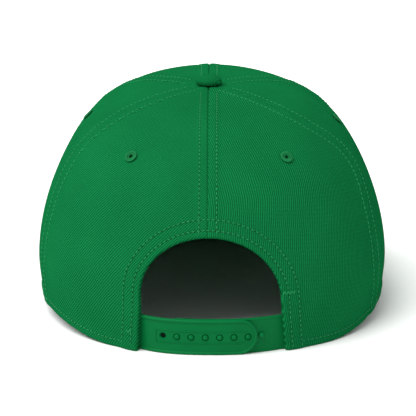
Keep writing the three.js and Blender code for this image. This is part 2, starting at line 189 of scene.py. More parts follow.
@dataclass(frozen=True)
class CrownForm:
    """The crown's outer face, which every piece of the cap follows.

    Attributes:
        axis_y: Where the crown's axis stands along Y.
        visor_root: The height of the visor's top face at the crown's front.
        side_rise: How far the rim is raised at the sides, up to side_bearing.
        rise_turn: How far that rise is turned, in degrees.
        lean: How far the middle leans to the left, from lean_start up to lean_end.
        sewn_gap: The gap between pieces that are sewn together.
        roundness: The power of the rounded plan: 2 is an ellipse.
        ridge: How far the crown stands out on a seam, as a share of its reach.
        back_bearing: Where the rim lies flat, in degrees.
        swing_level: The level where a seam swings out most.
        seam_turn: The level where seams start to turn from their rim bearing to their top one,
            and where the ridge on them is full.
        level_halvings: How often the search for a level halves its range.
        columns: The section points at each bearing asked for so far.
        sections: The sections from the rim to the top.
        seams: The seams from the front seam round by the wearer's right.
    """

    axis_y: float
    visor_root: float
    half_width: float = 85 * MM
    front_reach: float = 99 * MM
    back_reach: float = 94 * MM
    height: float = 107 * MM
    cloth: float = 1.8 * MM
    side_rise: float = 6 * MM
    rise_turn: float = 4
    lean: float = 1.6 * MM
    lean_start: float = 20 * MM
    lean_end: float = 42 * MM
    sewn_gap: float = 0.3 * MM
    roundness: float = 2.25
    ridge: float = 0.014
    side_bearing: float = 112
    back_bearing: float = 145
    swing_level: float = 0.49
    swing_span: float = 0.13
    seam_turn: float = 0.4
    level_halvings: int = 22
    columns: dict[float, list[Vector]] = field(default_factory=dict, compare=False, repr=False)
    visor_slope: float = 0.1
    visor_arch_radius: float = 390 * MM
    visor_corner_bearing: float = 61
    visor_end_bearing: float = 95
    sections: tuple[Section, ...] = (
        Section(1, 1, 1, 0, 0, 0),
        Section(1.018, 1, 1.006, 0.259, 0.324, 0.188),
        Section(0.972, 0.97, 0.97, 0.475, 0.553, 0.406),
        Section(0.87, 0.897, 0.87, 0.683, 0.768, 0.61),
        Section(0.724, 0.76, 0.71, 0.843, 0.917, 0.782),
        Section(0.51, 0.55, 0.495, 0.95, 1.002, 0.91),
        Section(0.26, 0.29, 0.25, 0.996, 1.012, 0.98),
        Section(0, 0, 0, 1, 1, 1),
    )
    seams: tuple[Seam, ...] = (
        Seam(0, 0, "front_right", grain=60, valley=1),
        Seam(58, 60, "side_right"),
        Seam(117, 136, "back_right", 0.46, grain=10, swing=-5),
        Seam(180, 180, "back_left", 0.54, grain=38, valley=1),
        Seam(248, 231, "side_left", 0.58),
        Seam(302, 300, "front_left", grain=60),
        Seam(360, 360),
    )

    def plan(self, bearing: float) -> Station:
        """The place of a bearing on the rounded plan, with unit reaches."""
        x = math.sin(bearing)
        y = math.cos(bearing)
        size = (abs(x) ** self.roundness + abs(y) ** self.roundness) ** (-1 / self.roundness)
        return x * size, y * size

    def seam(self, index: int, level: float) -> float:
        """The bearing of a seam at a level."""
        seam = self.seams[index]
        swing = seam.swing * bump_at(level, self.swing_level, self.swing_span)
        return math.radians(lerp(seam.rim, seam.top, smooth(level, self.seam_turn, 1)) + swing)

    def seam_ridge(self, bearing: float, level: float) -> float:
        """How far the crown stands out at a bearing: most on a seam, least between two."""
        turned = bearing % TAU
        index = next((i for i in range(1, 7) if turned <= self.seam(i, level)), 6)
        start = self.seam(index - 1, level)
        across = (turned - start) / (self.seam(index, level) - start)
        return 1 + self.ridge * min(1, level / self.seam_turn) * ((2 * across - 1) ** 2 - 1 / 3)

    def visor_top(self, x: float, y: float) -> float:
        """The height of the visor's top face at a place whose y is counted from the axis."""
        fall = self.visor_slope * (y - self.front_reach)
        return self.visor_root - fall - x**2 / (2 * self.visor_arch_radius)

    def rim_height(self, bearing: float) -> float:
        """The height of the rim: flat behind, raised at the sides and on the visor in front."""
        from_front = math.degrees(math.acos(clamp(math.cos(bearing), -1, 1)))
        turned = from_front + math.copysign(self.rise_turn, math.sin(bearing))
        on_side = self.side_rise * (1 - smooth(turned, self.side_bearing, self.back_bearing))
        x, y = self.plan(bearing)
        on_visor = self.sewn_gap + self.visor_top(
            x * (self.half_width - self.cloth), y * (self.front_reach - self.cloth)
        )
        return lerp(on_visor, on_side, smooth(from_front, self.visor_corner_bearing, self.visor_end_bearing))

    def section_point(self, index: int, bearing: float) -> Vector:
        """The point of a section at a bearing."""
        section = self.sections[index]
        x, y = self.plan(bearing)
        ridge = self.seam_ridge(bearing, index / (len(self.sections) - 1))
        cosine = math.cos(bearing)
        ahead = max(0.0, cosine) ** 1.5
        behind = max(0.0, -cosine) ** 1.5
        reach = self.front_reach * section.front if y > 0 else self.back_reach * section.back
        share = section.side_up
        share += (section.front_up - section.side_up) * ahead
        share += (section.back_up - section.side_up) * behind
        z = self.rim_height(bearing) if index == 0 else self.height * share
        return Vector((self.half_width * section.side * x * ridge, self.axis_y + reach * y * ridge, z))

    def column(self, bearing: float) -> list[Vector]:
        """The section points at a bearing, with one more past either end, kept for the next call."""
        if bearing not in self.columns:
            last = len(self.sections) - 1
            points = [self.section_point(index, bearing) for index in range(last + 1)]
            over_top = self.section_point(last - 1, bearing + math.pi)
            self.columns[bearing] = [2 * points[0] - points[1], *points, over_top]
        return self.columns[bearing]

    def lean_at(self, x: float, z: float) -> float:
        """How far the middle of the crown leans to the left. The sides and the rim stay."""
        side = clamp(x / self.half_width, -1, 1)
        return self.lean * smooth(z, self.lean_start, self.lean_end) * (1 - side**2) ** 3

    def point(self, bearing: float, level: float) -> Vector:
        """The point of the crown's outer face at a bearing and level."""
        upright = self.upright(bearing, level)
        upright.x -= self.lean_at(upright.x, upright.z)
        return upright

    def upright(self, bearing: float, level: float) -> Vector:
        """The crown's point before it leans."""
        last = len(self.sections) - 1
        at = clamp(level) * last
        index = min(int(at), last - 1)
        t = at - index
        before, start, end, after = self.column(bearing)[index : index + 4]
        return 0.5 * (
            2 * start
            + (end - before) * t
            + (2 * before - 5 * start + 4 * end - after) * t**2
            + (3 * start - before - 3 * end + after) * t**3
        )

    def normal(self, bearing: float, level: float) -> Vector:
        """The direction out of the crown at a bearing and level."""
        step = 1e-3
        safe = clamp(level, step, 1 - 4 * step)
        up = self.point(bearing, safe + step) - self.point(bearing, safe - step)
        across = self.point(bearing + step, safe) - self.point(bearing - step, safe)
        return up.cross(across).normalized()

    def under(self, bearing: float, level: float, depth: float) -> Vector:
        """A point under the outer face, with the depth measured level near the rim."""
        normal = self.normal(bearing, level)
        normal.z *= smooth(level, 0, 0.2)
        return self.point(bearing, level) - normal.normalized() * depth

    def level_where(self, bearing: float, passes: Callable[[Vector], bool]) -> float:
        """The lowest level at a bearing whose point passes a test."""
        low = 0.0
        high = 1.0
        for _ in range(self.level_halvings):
            middle = (low + high) / 2
            if passes(self.point(bearing, middle)):
                high = middle
            else:
                low = middle
        return high

    def level_at_height(self, bearing: float, height: float) -> float:
        """The level at a height over the rim."""
        wanted = self.rim_height(bearing) + height
        return self.level_where(bearing, lambda p: p.z >= wanted) if height > 0 else 0.0

    def level_at_radius(self, bearing: float, radius: float) -> float:
        """The level at a distance from the crown's axis."""
        return self.level_where(bearing, lambda p: math.hypot(p.x + self.lean, p.y - self.axis_y) <= radius)

    def bearing_across(self, across: float) -> float:
        """The bearing of the rim's point behind that lies this far to the wearer's right."""
        x = across / self.half_width
        y = -((1 - abs(x) ** self.roundness) ** (1 / self.roundness))
        return math.atan2(x, y) % TAU

    def at_back(self, x: float, z: float) -> Station:
        """The bearing and level of the crown's back that lies at x and z before it leans."""
        across = x
        for _ in range(6):
            bearing = self.bearing_across(across)
            level = self.level_where(bearing, lambda p: p.z >= z)
            found = self.upright(bearing, level).x
            across *= x / found if x and found else 1
        return bearing, level


@dataclass(frozen=True)
class ArchForm:
    """The arch's outline at the back: two sides that spread towards the rim, under a half ellipse."""

    half_width: float = 33.1 * MM
    straight: float = 25.6 * MM
    dome: float = 28.4 * MM
    left_spread: float = 0.8 * MM
    right_spread: float = 1.7 * MM
    side_count: int = 20

    def side_point(self, side: Side, share: float, offset: float = 0) -> Station:
        """The x and z at a share of the way up one side, an offset outside the edge."""
        spread = self.left_spread if side is Side.LEFT else self.right_spread
        return side.value * (self.half_width + spread * (1 - share) ** 1.5 + offset), self.straight * share

    def dome_point(self, side: Side, share: float, offset: float = 0) -> Station:
        """The x and z at a share of the way up one half of the dome, an offset outside the edge."""
        angle = share * QUARTER
        out = Vector((self.dome * math.cos(angle), self.half_width * math.sin(angle))).normalized()
        x = self.half_width * math.cos(angle) + out.x * offset
        return side.value * x, self.straight + self.dome * math.sin(angle) + out.y * offset

    def offset_row(self, offset: float, count: int = 45) -> list[Station]:
        """A row of x and z that stays an offset outside the arch, from right to left.

        Args:
            offset: The distance from the arch's edge.
            count: How many points each half of the dome gets.

        Returns:
            The row's points from the rim on the right round to the rim on the left.
        """
        halves = []
        for side in (Side.RIGHT, Side.LEFT):
            shares = [k / self.side_count for k in range(1, self.side_count)]
            half = [self.side_point(side, share, offset) for share in shares]
            halves.append(half + [self.dome_point(side, k / count, offset) for k in range(count)])
        return halves[0] + [self.dome_point(Side.RIGHT, 1, offset)] + halves[1][::-1]


class Value:
    """A socket in a shader, so that shader maths reads as Python."""

    def __init__(self, shader: Shader, socket: bpy.types.NodeSocket) -> None:
        """Wraps a node's output socket."""
        self.shader = shader
        self.socket = socket

    def _math(self, operation: str, *values: Value | float) -> Value:
        """A Math node on this socket and others."""
        return self.shader.node("ShaderNodeMath", {"operation": operation}, dict(enumerate(values)))

    def __add__(self, other: Value | float) -> Value:
        """This socket plus another."""
        return self._math("ADD", self, other)

    def __sub__(self, other: Value | float) -> Value:
        """This socket less another."""
        return self._math("SUBTRACT", self, other)

    def __rsub__(self, other: float) -> Value:
        """A number less this socket."""
        return self._math("SUBTRACT", other, self)

    def __mul__(self, other: Value | float) -> Value:
        """This socket times another."""
        return self._math("MULTIPLY", self, other)

    def sine(self) -> Value:
        """The sine of this socket."""
        return self._math("SINE", self)

    __radd__ = __add__
    __rmul__ = __mul__


class Shader:
    """A material under construction."""

    def __init__(self, name: str) -> None:
        """Starts an empty material."""
        self.material = bpy.data.materials.new(name)
        self.material.use_nodes = True
        self.tree = self.material.node_tree
        self.tree.nodes.clear()

    def node(
        self,
        kind: str,
        settings: dict[str, Any] | None = None,
        inputs: dict[str | int, Any] | None = None,
        output: str | int = 0,
    ) -> Value:
        """Adds a node.

        Args:
            kind: The node's type.
            settings: Its properties, set first.
            inputs: The values or links of its sockets, by name or number.
            output: The socket that is handed back.

        Returns:
            The chosen output socket.
        """
        node = self.tree.nodes.new(kind)
        for key, value in (settings or {}).items():
            setattr(node, key, value)
        for key, value in (inputs or {}).items():
            if isinstance(value, Value):
                self.tree.links.new(value.socket, node.inputs[key])
            else:
                node.inputs[key].default_value = value
        sockets = node.outputs if len(node.outputs) else node.inputs
        return Value(self, sockets[output])

    def mix(self, factor: Value | float, first: Any, second: Any) -> Value:
        """A colour between two others."""
        inputs = {0: factor, 6: first, 7: second}
        return self.node("ShaderNodeMix", {"data_type": "RGBA"}, inputs, 2)

    def noise(self, vector: Value, scale: float, detail: float = 2.0, roughness: float = 0.5) -> Value:
        """Smooth noise of about 0 to 1 on a vector."""
        inputs = {"Vector": vector, "Scale": scale, "Detail": detail, "Roughness": roughness}
        return self.node("ShaderNodeTexNoise", None, inputs)

    def cloth_uv(self) -> tuple[Value, Value, Value]:
        """The cloth's own map as a vector and its two lengths in metres."""
        vector = self.node("ShaderNodeUVMap", {"uv_map": CLOTH_UV})
        split = {"Vector": vector}
        return (
            vector,
            self.node("ShaderNodeSeparateXYZ", None, split, "X"),
            self.node("ShaderNodeSeparateXYZ", None, split, "Y"),
        )

    def object_place(self) -> Value:
        """The place on the piece in metres."""
        return self.node("ShaderNodeTexCoord", None, None, "Object")

    def surface(
        self,
        colour: Value,
        roughness: Value | float,
        height: Value,
        relief: float,
        **even: Any,
    ) -> bpy.types.Material:
        """Closes the material with a principled surface.

        Args:
            colour: The base colour.
            roughness: The roughness.
            height: The relief's height, about 0 to 1.
            relief: How far in metres a height of 1 stands out.
            even: Values that are the same all over, by socket name with _ for a space.

        Returns:
            The finished material.
        """
        bumped = self.node("ShaderNodeBump", None, {"Height": height, "Distance": relief, "Strength": 1.0})
        inputs = {"Base Color": colour, "Roughness": roughness, "Normal": bumped}
        inputs |= {name.replace("_", " "): value for name, value in even.items()}
        lit = self.node("ShaderNodeBsdfPrincipled", None, inputs)
        self.node("ShaderNodeOutputMaterial", None, {"Surface": lit})
        return self.material


@dataclass(frozen=True)
class TwillFinish:
    """Cotton and wool twill: raised diagonal wales of slanting yarn floats, with painted shade in the valleys
    between the wales.
    """

    name: str = "green_twill"
    # The valley colour is darker than the wale colour: painted shade for the twill's shadowed valleys.
    wale: Colour = srgb(21, 125, 69)
    valley: Colour = srgb(7, 81, 41)
    pitch: float = 1.05 * MM
    float_length: float = 1.9 * MM
    relief: float = 0.23 * MM

    def material(self) -> bpy.types.Material:
        """Builds the twill."""
        shader = Shader(self.name)
        vector, u, v = shader.cloth_uv()
        wander = shader.noise(vector, 90, 2)
        turns = (u + (wander - 0.5) * (1.6 * self.pitch)) * (TAU / self.pitch)
        wale = turns.sine() * 0.5 + 0.5
        floats = (v * (TAU / self.float_length) + turns).sine() * 0.5 + 0.5
        fuzz = shader.noise(vector, 900, 4, 0.75)
        height = wale * (floats * 0.35 + 0.5) + fuzz * 0.5
        patches = shader.noise(vector, 30, 3)
        # The colour follows the relief's height, as painted shade in its low parts, mixed with random patches
        # of tone.
        tone = {"Value": height * 0.75 + patches * 0.25, "From Min": 0.3, "From Max": 0.95}
        patches_and_painted_shade = shader.node("ShaderNodeMapRange", None, tone)
        colour = shader.mix(patches_and_painted_shade, self.valley, self.wale)
        return shader.surface(colour, 0.98 - wale * 0.06, height, self.relief, Specular_IOR_Level=0.0)


@dataclass(frozen=True)
class ThreadFinish:
    """Spun sewing thread with a little lustre."""

    name: str = "green_thread"
    # This default thread is lighter than the cloth: partly the thread's own colour, partly painted highlight
    # for the light its turns catch.
    light: Colour = srgb(38, 150, 91)
    dark: Colour = srgb(14, 113, 60)

    def material(self) -> bpy.types.Material:
        """Builds the thread."""
        shader = Shader(self.name)
        place = shader.object_place()
        ply = shader.noise(place, 2200, 2)
        tone = shader.noise(place, 160, 2)
        colour = shader.mix(ply * 0.5 + tone * 0.6, self.dark, self.light)
        return shader.surface(colour, 0.8 - ply * 0.2, ply, 0.12 * MM, Specular_IOR_Level=0.12)


@dataclass(frozen=True)
class PlasticFinish:
    """Moulded soft plastic with a satin skin."""

    name: str = "green_plastic"
    colour: Colour = srgb(3, 107, 54)
    deep: Colour = srgb(2, 98, 48)

    def material(self) -> bpy.types.Material:
        """Builds the plastic."""
        shader = Shader(self.name)
        place = shader.object_place()
        flow = shader.noise(place, 90, 3)
        skin = shader.noise(place, 3200, 2)
        colour = shader.mix(flow, self.deep, self.colour)
        return shader.surface(colour, 0.4 + flow * 0.16, skin, 0.03 * MM, Specular_IOR_Level=0.05)


@dataclass(frozen=True)
class LiningFinish:
    """Woven backing and band cloth: dark cloth painted much lighter, as painted light inside the crown, with
    painted shade on the weave's low points.
    """

    name: str
    light: Colour
    dark: Colour
    pitch: float = 0.9 * MM
    relief: float = 0.15 * MM

    def material(self) -> bpy.types.Material:
        """Builds the plain weave."""
        shader = Shader(self.name)
        vector, u, v = shader.cloth_uv()
        warp = (u * (TAU / self.pitch)).sine()
        weft = (v * (TAU / self.pitch)).sine()
        weave = warp * weft * 0.5 + 0.5
        fuzz = shader.noise(vector, 1500, 2)
        # The weave's low points are darker, as painted shade, mixed with random fuzz.
        colour = shader.mix(weave * 0.6 + fuzz * 0.4, self.dark, self.light)
        height = weave * 0.7 + fuzz * 0.3
        return shader.surface(colour, 0.98 - fuzz * 0.08, height, self.relief, Specular_IOR_Level=0.15)


@dataclass(frozen=True)
class FloorFinish:
    """The plain pale floor."""

    name: str = "pale_floor"
    colour: Colour = (0.93, 0.93, 0.93, 1.0)
    dark: Colour = (0.85, 0.85, 0.85, 1.0)

    def material(self) -> bpy.types.Material:
        """Builds the floor."""
        shader = Shader(self.name)
        grain = shader.noise(shader.object_place(), 40, 2)
        colour = shader.mix(grain * 0.02, self.colour, self.dark)
        return shader.surface(colour, 0.7, grain, 0.01 * MM, Specular_IOR_Level=0.1)


# Dark thread laid in the gaps between stitches: painted shade for the needle holes.
PIT_SHADOW = ThreadFinish("pit_shadow", srgb(8, 86, 44), srgb(4, 68, 34))
EYELET_THREAD = ThreadFinish("eyelet_thread", srgb(22, 126, 70), srgb(6, 90, 46))
# Near-black plastic for the disc behind the last hole: painted shade.
SHADED_PLASTIC = PlasticFinish("shaded_plastic", srgb(2, 26, 13), srgb(1, 18, 9))
# The backing's and band's colours are much lighter than the dark cloth: painted light for the light that
# reaches inside the crown.
BACKING = LiningFinish("backing_with_painted_light", srgb(112, 155, 130), srgb(72, 105, 86))
BAND_WEAVE = LiningFinish("band_weave_with_painted_light", srgb(82, 120, 99), srgb(50, 77, 62))


def deselect() -> None:
    """Leaves object mode with nothing selected."""
    if bpy.context.object and bpy.context.object.mode != "OBJECT":
        bpy.ops.object.mode_set(mode="OBJECT")
    bpy.ops.object.select_all(action="DESELECT")


def add(name: str, data: bpy.types.ID) -> bpy.types.Object:
    """Adds an object with its data to the scene."""
    obj = bpy.data.objects.new(name, data)
    bpy.context.scene.collection.objects.link(obj)
    return obj


def twin(pattern: bpy.types.Object) -> bpy.types.Object:
    """Adds a copy of an object with a mesh of its own."""
    obj = pattern.copy()
    obj.data = pattern.data.copy()
    bpy.context.scene.collection.objects.link(obj)
    return obj


def pick(*objects: bpy.types.Object) -> None:
    """Selects these objects alone, with the first one active."""
    deselect()
    for obj in objects:
        obj.select_set(True)
    bpy.context.view_layer.objects.active = objects[0]


def settle(obj: bpy.types.Object) -> None:
    """Moves an object's place and turn into its mesh."""
    pick(obj)
    bpy.ops.object.transform_apply(location=True, rotation=True, scale=True)


def join(name: str, objects: Sequence[bpy.types.Object]) -> bpy.types.Object:
    """Joins objects into the first one and names it."""
    pick(*objects)
    if len(objects) > 1:
        bpy.ops.object.join()
    objects[0].name = name
    objects[0].data.name = name
    return objects[0]


def select_in_edit(
    obj: bpy.types.Object,
    faces: Callable[[bmesh.types.BMFace], bool] | None = None,
    verts: Callable[[bmesh.types.BMVert], bool] | None = None,
) -> None:
    """Selects faces or vertices of the mesh being edited by a test.

    Args:
        obj: The object in edit mode.
        faces: The test that a face has to pass, in face mode.
        verts: The test that a vertex has to pass, in vertex mode.
    """
    bpy.ops.mesh.select_mode(type="FACE" if faces else "VERT")
    bpy.ops.mesh.select_all(action="DESELECT")
    mesh = bmesh.from_edit_mesh(obj.data)
    for item in mesh.faces if faces else mesh.verts:
        item.select_set((faces or verts)(item))
    mesh.select_flush_mode()
    bmesh.update_edit_mesh(obj.data)


def use_modifier(obj: bpy.types.Object, kind: str, **settings: Any) -> None:
    """Adds a modifier with its settings and applies it."""
    pick(obj)
    modifier = obj.modifiers.new(kind.lower(), kind)
    for key, value in settings.items():
        setattr(modifier, key, value)
    bpy.ops.object.modifier_apply(modifier=modifier.name)


def soften(obj: bpy.types.Object, degrees: float = 35) -> None:
    """Shades an object smooth but for edges sharper than an angle."""
    pick(obj)
    bpy.ops.object.shade_smooth_by_angle(angle=math.radians(degrees))


def dress(obj: bpy.types.Object, slot: Slot, *materials: bpy.types.Material) -> None:
    """Gives a piece its materials and its ride on the cap."""
    obj.data.materials.clear()
    for material in materials:
        obj.data.materials.append(material)
    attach(obj, BODY)
    log.info("%s: %d faces", obj.name, len(obj.data.polygons))


def shaped_grid(
    name: str, columns: int, rows: int, place: Place, cloth: Place, inner: Place | None = None
) -> bpy.types.Object:
    """Adds a grid and shapes it onto a surface.

    Args:
        name: The piece's name.
        columns: How many faces run across.
        rows: How many faces run up.
        place: The place of a grid point, by its column and row numbers.
        cloth: The point's place on the cloth's own map.
        inner: The place of the point on the wall's other face. Without it the sheet stays thin.

    Returns:
        The shaped sheet, facing out of the crown where columns run clockwise from above. The
        wall's inner face has the second material.
    """
    deselect()
    bpy.ops.mesh.primitive_grid_add(x_subdivisions=columns, y_subdivisions=rows, size=2)
    obj = bpy.context.object
    obj.name = name
    obj.data.name = name
    numbers = [(round((1 - v.co.x) / 2 * columns), round((v.co.y + 1) / 2 * rows)) for v in obj.data.vertices]
    layer = obj.data.uv_layers.new(name=CLOTH_UV)
    flat = [cloth(*number) for number in numbers]
    for vertex, number in zip(obj.data.vertices, numbers):
        vertex.co = place(*number)
    for loop in obj.data.loops:
        layer.data[loop.index].uv = flat[loop.vertex_index].xy
    for other in [uv for uv in obj.data.uv_layers if uv.name != CLOTH_UV]:
        obj.data.uv_layers.remove(other)
    if inner:
        use_modifier(obj, "SOLIDIFY", thickness=MM, offset=-1, material_offset=1)
        for vertex, number in zip(obj.data.vertices[len(numbers) :], numbers):
            vertex.co = inner(*number)
    obj.data.update()
    return obj


class Track:
    """A dense row of points along a seam or edge, for distances to it."""

    def __init__(self, points: Sequence[Vector]) -> None:
        """Takes the row's points in order."""
        self.points = points
        self.tree = KDTree(len(points))
        self.lengths = [0.0]
        for first, second in zip(points, points[1:]):
            self.lengths.append(self.lengths[-1] + (second - first).length)
        for index, point in enumerate(points):
            self.tree.insert(point, index)
        self.tree.balance()

    def nearest(self, point: Vector) -> Station:
        """The distance to the row and the length along it."""
        _, index, distance = self.tree.find(point)
        best = distance, self.lengths[index]
        for first in (index - 1, index):
            if 0 <= first < len(self.points) - 1:
                start = self.points[first]
                step = self.points[first + 1] - start
                share = clamp((point - start).dot(step) / step.length_squared)
                found = (point - start - step * share).length
                if found < best[0]:
                    best = found, lerp(self.lengths[first], self.lengths[first + 1], share)
        return best


@dataclass(frozen=True)
class ClothRelief:
    """How sewn cloth rises over its folds and sinks at seams and stitches.

    Attributes:
        rise: How far cloth stands out over its folded allowance.
        valley_depth: How deep the deepest seam lies.
        groove_depth: How deep a stitch row lies.
        seam_row: The distance from a seam to its stitch row.
        arch_rows: The distances from the arch's edge to its two rows.
        rim_row: The height of the row over the rim.
        stitch_pitch: The distance from one stitch to the next.
        pucker: How far the cloth rises and falls from stitch to stitch.
        roll: How far the cloth rolls in at an edge.
        left_flare: How far the arch's edge stands off the strap on the left.
        sink: How far the cloth lies inside the plain crown, to leave room for its relief.
        wave: How far worn cloth rises and falls.
    """

    rise: float = 0.38 * MM
    valley_depth: float = 0.6 * MM
    valley_width: float = 0.42 * MM
    groove_depth: float = 0.25 * MM
    groove_width: float = 0.5 * MM
    seam_row: float = 4 * MM
    arch_rows: Station = (3 * MM, 7.5 * MM)
    rim_row: float = 3.6 * MM
    stitch_pitch: float = 2.35 * MM
    pucker: float = 0.09 * MM
    roll: float = 0.7 * MM
    left_flare: float = 1.8 * MM
    right_flare: float = 0.5 * MM
    flare_width: float = 13 * MM
    flare_height: float = 30 * MM
    sink: float = 0.3 * MM
    wave: float = 0.35 * MM
    wave_length: float = 38 * MM

    def groove(self, distance: float, along: float, row: float) -> float:
        """The cloth's height near a stitch row, with a pucker at each stitch."""
        near = bump_at(distance, row, self.groove_width)
        beside = bump_at(distance, row, 2.6 * self.groove_width)
        return self.pucker * beside * math.cos(TAU * along / self.stitch_pitch) - self.groove_depth * near

    def seam(self, distance: float, along: float, depth: float) -> float:
        """The height beside a seam of some depth whose two allowances are stitched down."""
        fold = self.rise * (1 - smooth(distance, self.seam_row + 0.4 * MM, self.seam_row + 1.6 * MM))
        valley = depth * self.valley_depth * bump_at(distance, 0, self.valley_width)
        return fold - valley + self.groove(distance, along, self.seam_row)

    def hem(self, distance: float, along: float, rows: Sequence[float]) -> float:
        """The height beside an edge that is folded under and stitched in rows."""
        wide = rows[-1]
        fold = self.rise * (1 - smooth(distance, wide + 0.4 * MM, wide + 1.8 * MM))
        return fold - self.rolled(distance) + sum(self.groove(distance, along, row) for row in rows)

    def rolled(self, distance: float) -> float:
        """How far either face of the cloth rolls in at a distance from an edge."""
        return 0.8 * self.roll * max(0.0, 1 - distance / self.roll) ** 2

    def corner_flare(self, side: Side, distance: float, height: float) -> float:
        """How far the arch's edge on one side stands off the strap near the rim."""
        near = 1 - smooth(distance, 0, self.flare_width)
        flare = self.left_flare if side is Side.LEFT else self.right_flare
        return flare * near * (1 - smooth(height, 0.3 * self.flare_height, self.flare_height))

    def waves(self, point: Vector) -> float:
        """The slow rise and fall of worn cloth."""
        return self.wave * noise.noise(point / self.wave_length)


@dataclass
class CrownPanels:
    """The six crown panels with their seams, hems and arch."""

    form: CrownForm
    arch: ArchForm
    twill: bpy.types.Material
    lining: bpy.types.Material
    relief: ClothRelief = field(default_factory=ClothRelief)
    columns: int = 96
    rows: int = 108
    rim_columns: int = 42
    side_columns: int = 18
    dome_columns: int = 42
    hole_radius: float = 2.6 * MM
    eyelet_level: float = 0.565
    eyelet_radius: float = 1.6 * MM
    eyelet_cut: float = 12 * MM
    eyelet_sides: int = 24
    hem_thickness: float = 3.4 * MM
    seam_steps: int = 400
    rim_steps: int = 900
    side_steps: int = 60
    dome_steps: int = 90
    map_rows: int = 60
    map_columns: int = 12
    outer_faces: list[tuple[list[Vector], list[tuple[int, ...]]]] = field(default_factory=list)

    def __post_init__(self) -> None:
        """Lays out the seams, rim and arch that the cloth's relief follows."""
        form = self.form
        levels = [k / self.seam_steps for k in range(self.seam_steps + 1)]
        self.seam_tracks = [
            Track([form.point(form.seam(i, level), level) for level in levels]) for i in range(6)
        ]
        corner = form.bearing_across(self.arch.half_width)
        turn = corner * 2 / self.rim_steps
        self.rim_track = Track([form.point(-corner + k * turn, 0) for k in range(self.rim_steps + 1)])
        outline = []
        for side in (Side.RIGHT, Side.LEFT):
            spots = [self.arch.side_point(side, k / self.side_steps) for k in range(self.side_steps)]
            spots += [self.arch.dome_point(side, k / self.dome_steps) for k in range(self.dome_steps)]
            outline.append([form.at_back(x, z) for x, z in spots])
        top = form.at_back(0, self.arch.straight + self.arch.dome)
        stations = outline[0] + [top] + outline[1][::-1]
        self.arch_track = Track([form.point(*station) for station in stations])
        self.top_level = form.level_at_radius(0, self.hole_radius)

    def lower_edge(self, index: int) -> list[Station]:
        """A back panel's lower edge, column by column from its side seam to the back seam.

        Args:
            index: The panel's number, 2 on the right or 3 on the left.

        Returns:
            The share across the panel and the level where each column starts: along the rim to
            the arch, up its side and round its dome to the back seam.
        """
        form = self.form
        side = Side.RIGHT if index == 2 else Side.LEFT
        corner = form.bearing_across(self.arch.side_point(side, 0)[0])
        start = form.seam(2 if index == 2 else 4, 0)
        stations = [
            (lerp(start, corner, eased(k / self.rim_columns, 0.15, 0.5)), 0.0)
            for k in range(self.rim_columns)
        ]
        spots = [self.arch.side_point(side, k / self.side_columns) for k in range(self.side_columns)]
        dome = [eased(k / self.dome_columns, 1.1, 0.2) for k in range(self.dome_columns + 1)]
        spots += [self.arch.dome_point(side, share) for share in dome]
        stations += [form.at_back(x, z) for x, z in spots]
        shares = []
        for bearing, level in stations:
            seam = form.seam(index, level)
            shares.append(((bearing - seam) / (form.seam(index + 1, level) - seam), level))
        return shares

    def stations(self, index: int) -> list[list[Station]]:
        """The share across and the level of each point of a panel's grid, by column and row."""
        if index in (2, 3):
            starts = self.lower_edge(index)
            if index == 3:
                starts.reverse()
        else:
            starts = [(eased(k / self.columns, 0.2, 0.2), 0.0) for k in range(self.columns + 1)]
        last = len(starts) - 1
        grid = []
        for k, (share, level) in enumerate(starts):
            end = eased(k / last, 0.2, 0.2)
            ups = [eased(j / self.rows, 0.25, 0.6) for j in range(self.rows + 1)]
            grid.append([(lerp(share, end, up), lerp(level, self.top_level, up)) for up in ups])
        return grid

    def bearing(self, index: int, share: float, level: float) -> float:
        """The bearing at a share of the way across a panel."""
        return lerp(self.form.seam(index, level), self.form.seam(index + 1, level), share)

    def cloth_map(self, index: int) -> list[Station]:
        """A panel's width and length at even levels, measured on the crown."""
        table = []
        length = 0.0
        before = None
        for k in range(self.map_rows + 1):
            level = k / self.map_rows
            shares = [j / self.map_columns for j in range(self.map_columns + 1)]
            row = [self.form.point(self.bearing(index, share, level), level) for share in shares]
            middle = row[self.map_columns // 2]
            length += (middle - before).length if before else 0.0
            before = middle
            table.append((sum((b - a).length for a, b in zip(row, row[1:])), length))
        return table

    def height(self, index: int, point: Vector) -> float:
        """How far the cloth stands off the plain crown at a point of a panel."""
        relief = self.relief
        total = relief.waves(point) - relief.sink
        for seam in (index, (index + 1) % 6):
            total += relief.seam(*self.seam_tracks[seam].nearest(point), self.form.seams[seam].valley)
        total += relief.hem(*self.rim_track.nearest(point), (relief.rim_row,))
        if index in (2, 3):
            distance, along = self.arch_track.nearest(point)
            side = Side.RIGHT if index == 2 else Side.LEFT
            total += relief.hem(distance, along, relief.arch_rows)
            total += relief.corner_flare(side, distance, point.z)
        return total

    def panel(self, index: int) -> bpy.types.Object:
        """Builds one panel."""
        form = self.form
        grid = self.stations(index)
        table = self.cloth_map(index)

        def place(column: int, row: int) -> Vector:
            """The cloth's outer face."""
            share, level = grid[column][row]
            bearing = self.bearing(index, share, level)
            point = form.point(bearing, level)
            return point + form.normal(bearing, level) * self.height(index, point)

        def inner(column: int, row: int) -> Vector:
            """The cloth's inner face, thicker under the arch's hem."""
            share, level = grid[column][row]
            bearing = self.bearing(index, share, level)
            point = form.point(bearing, level)
            distance = self.arch_track.nearest(point)[0] if index in (2, 3) else 1
            folded = 1 - smooth(distance, self.relief.roll, 3 * self.relief.roll)
            depth = lerp(form.cloth, self.hem_thickness, folded) - self.relief.rolled(distance)
            return form.under(bearing, level, depth)

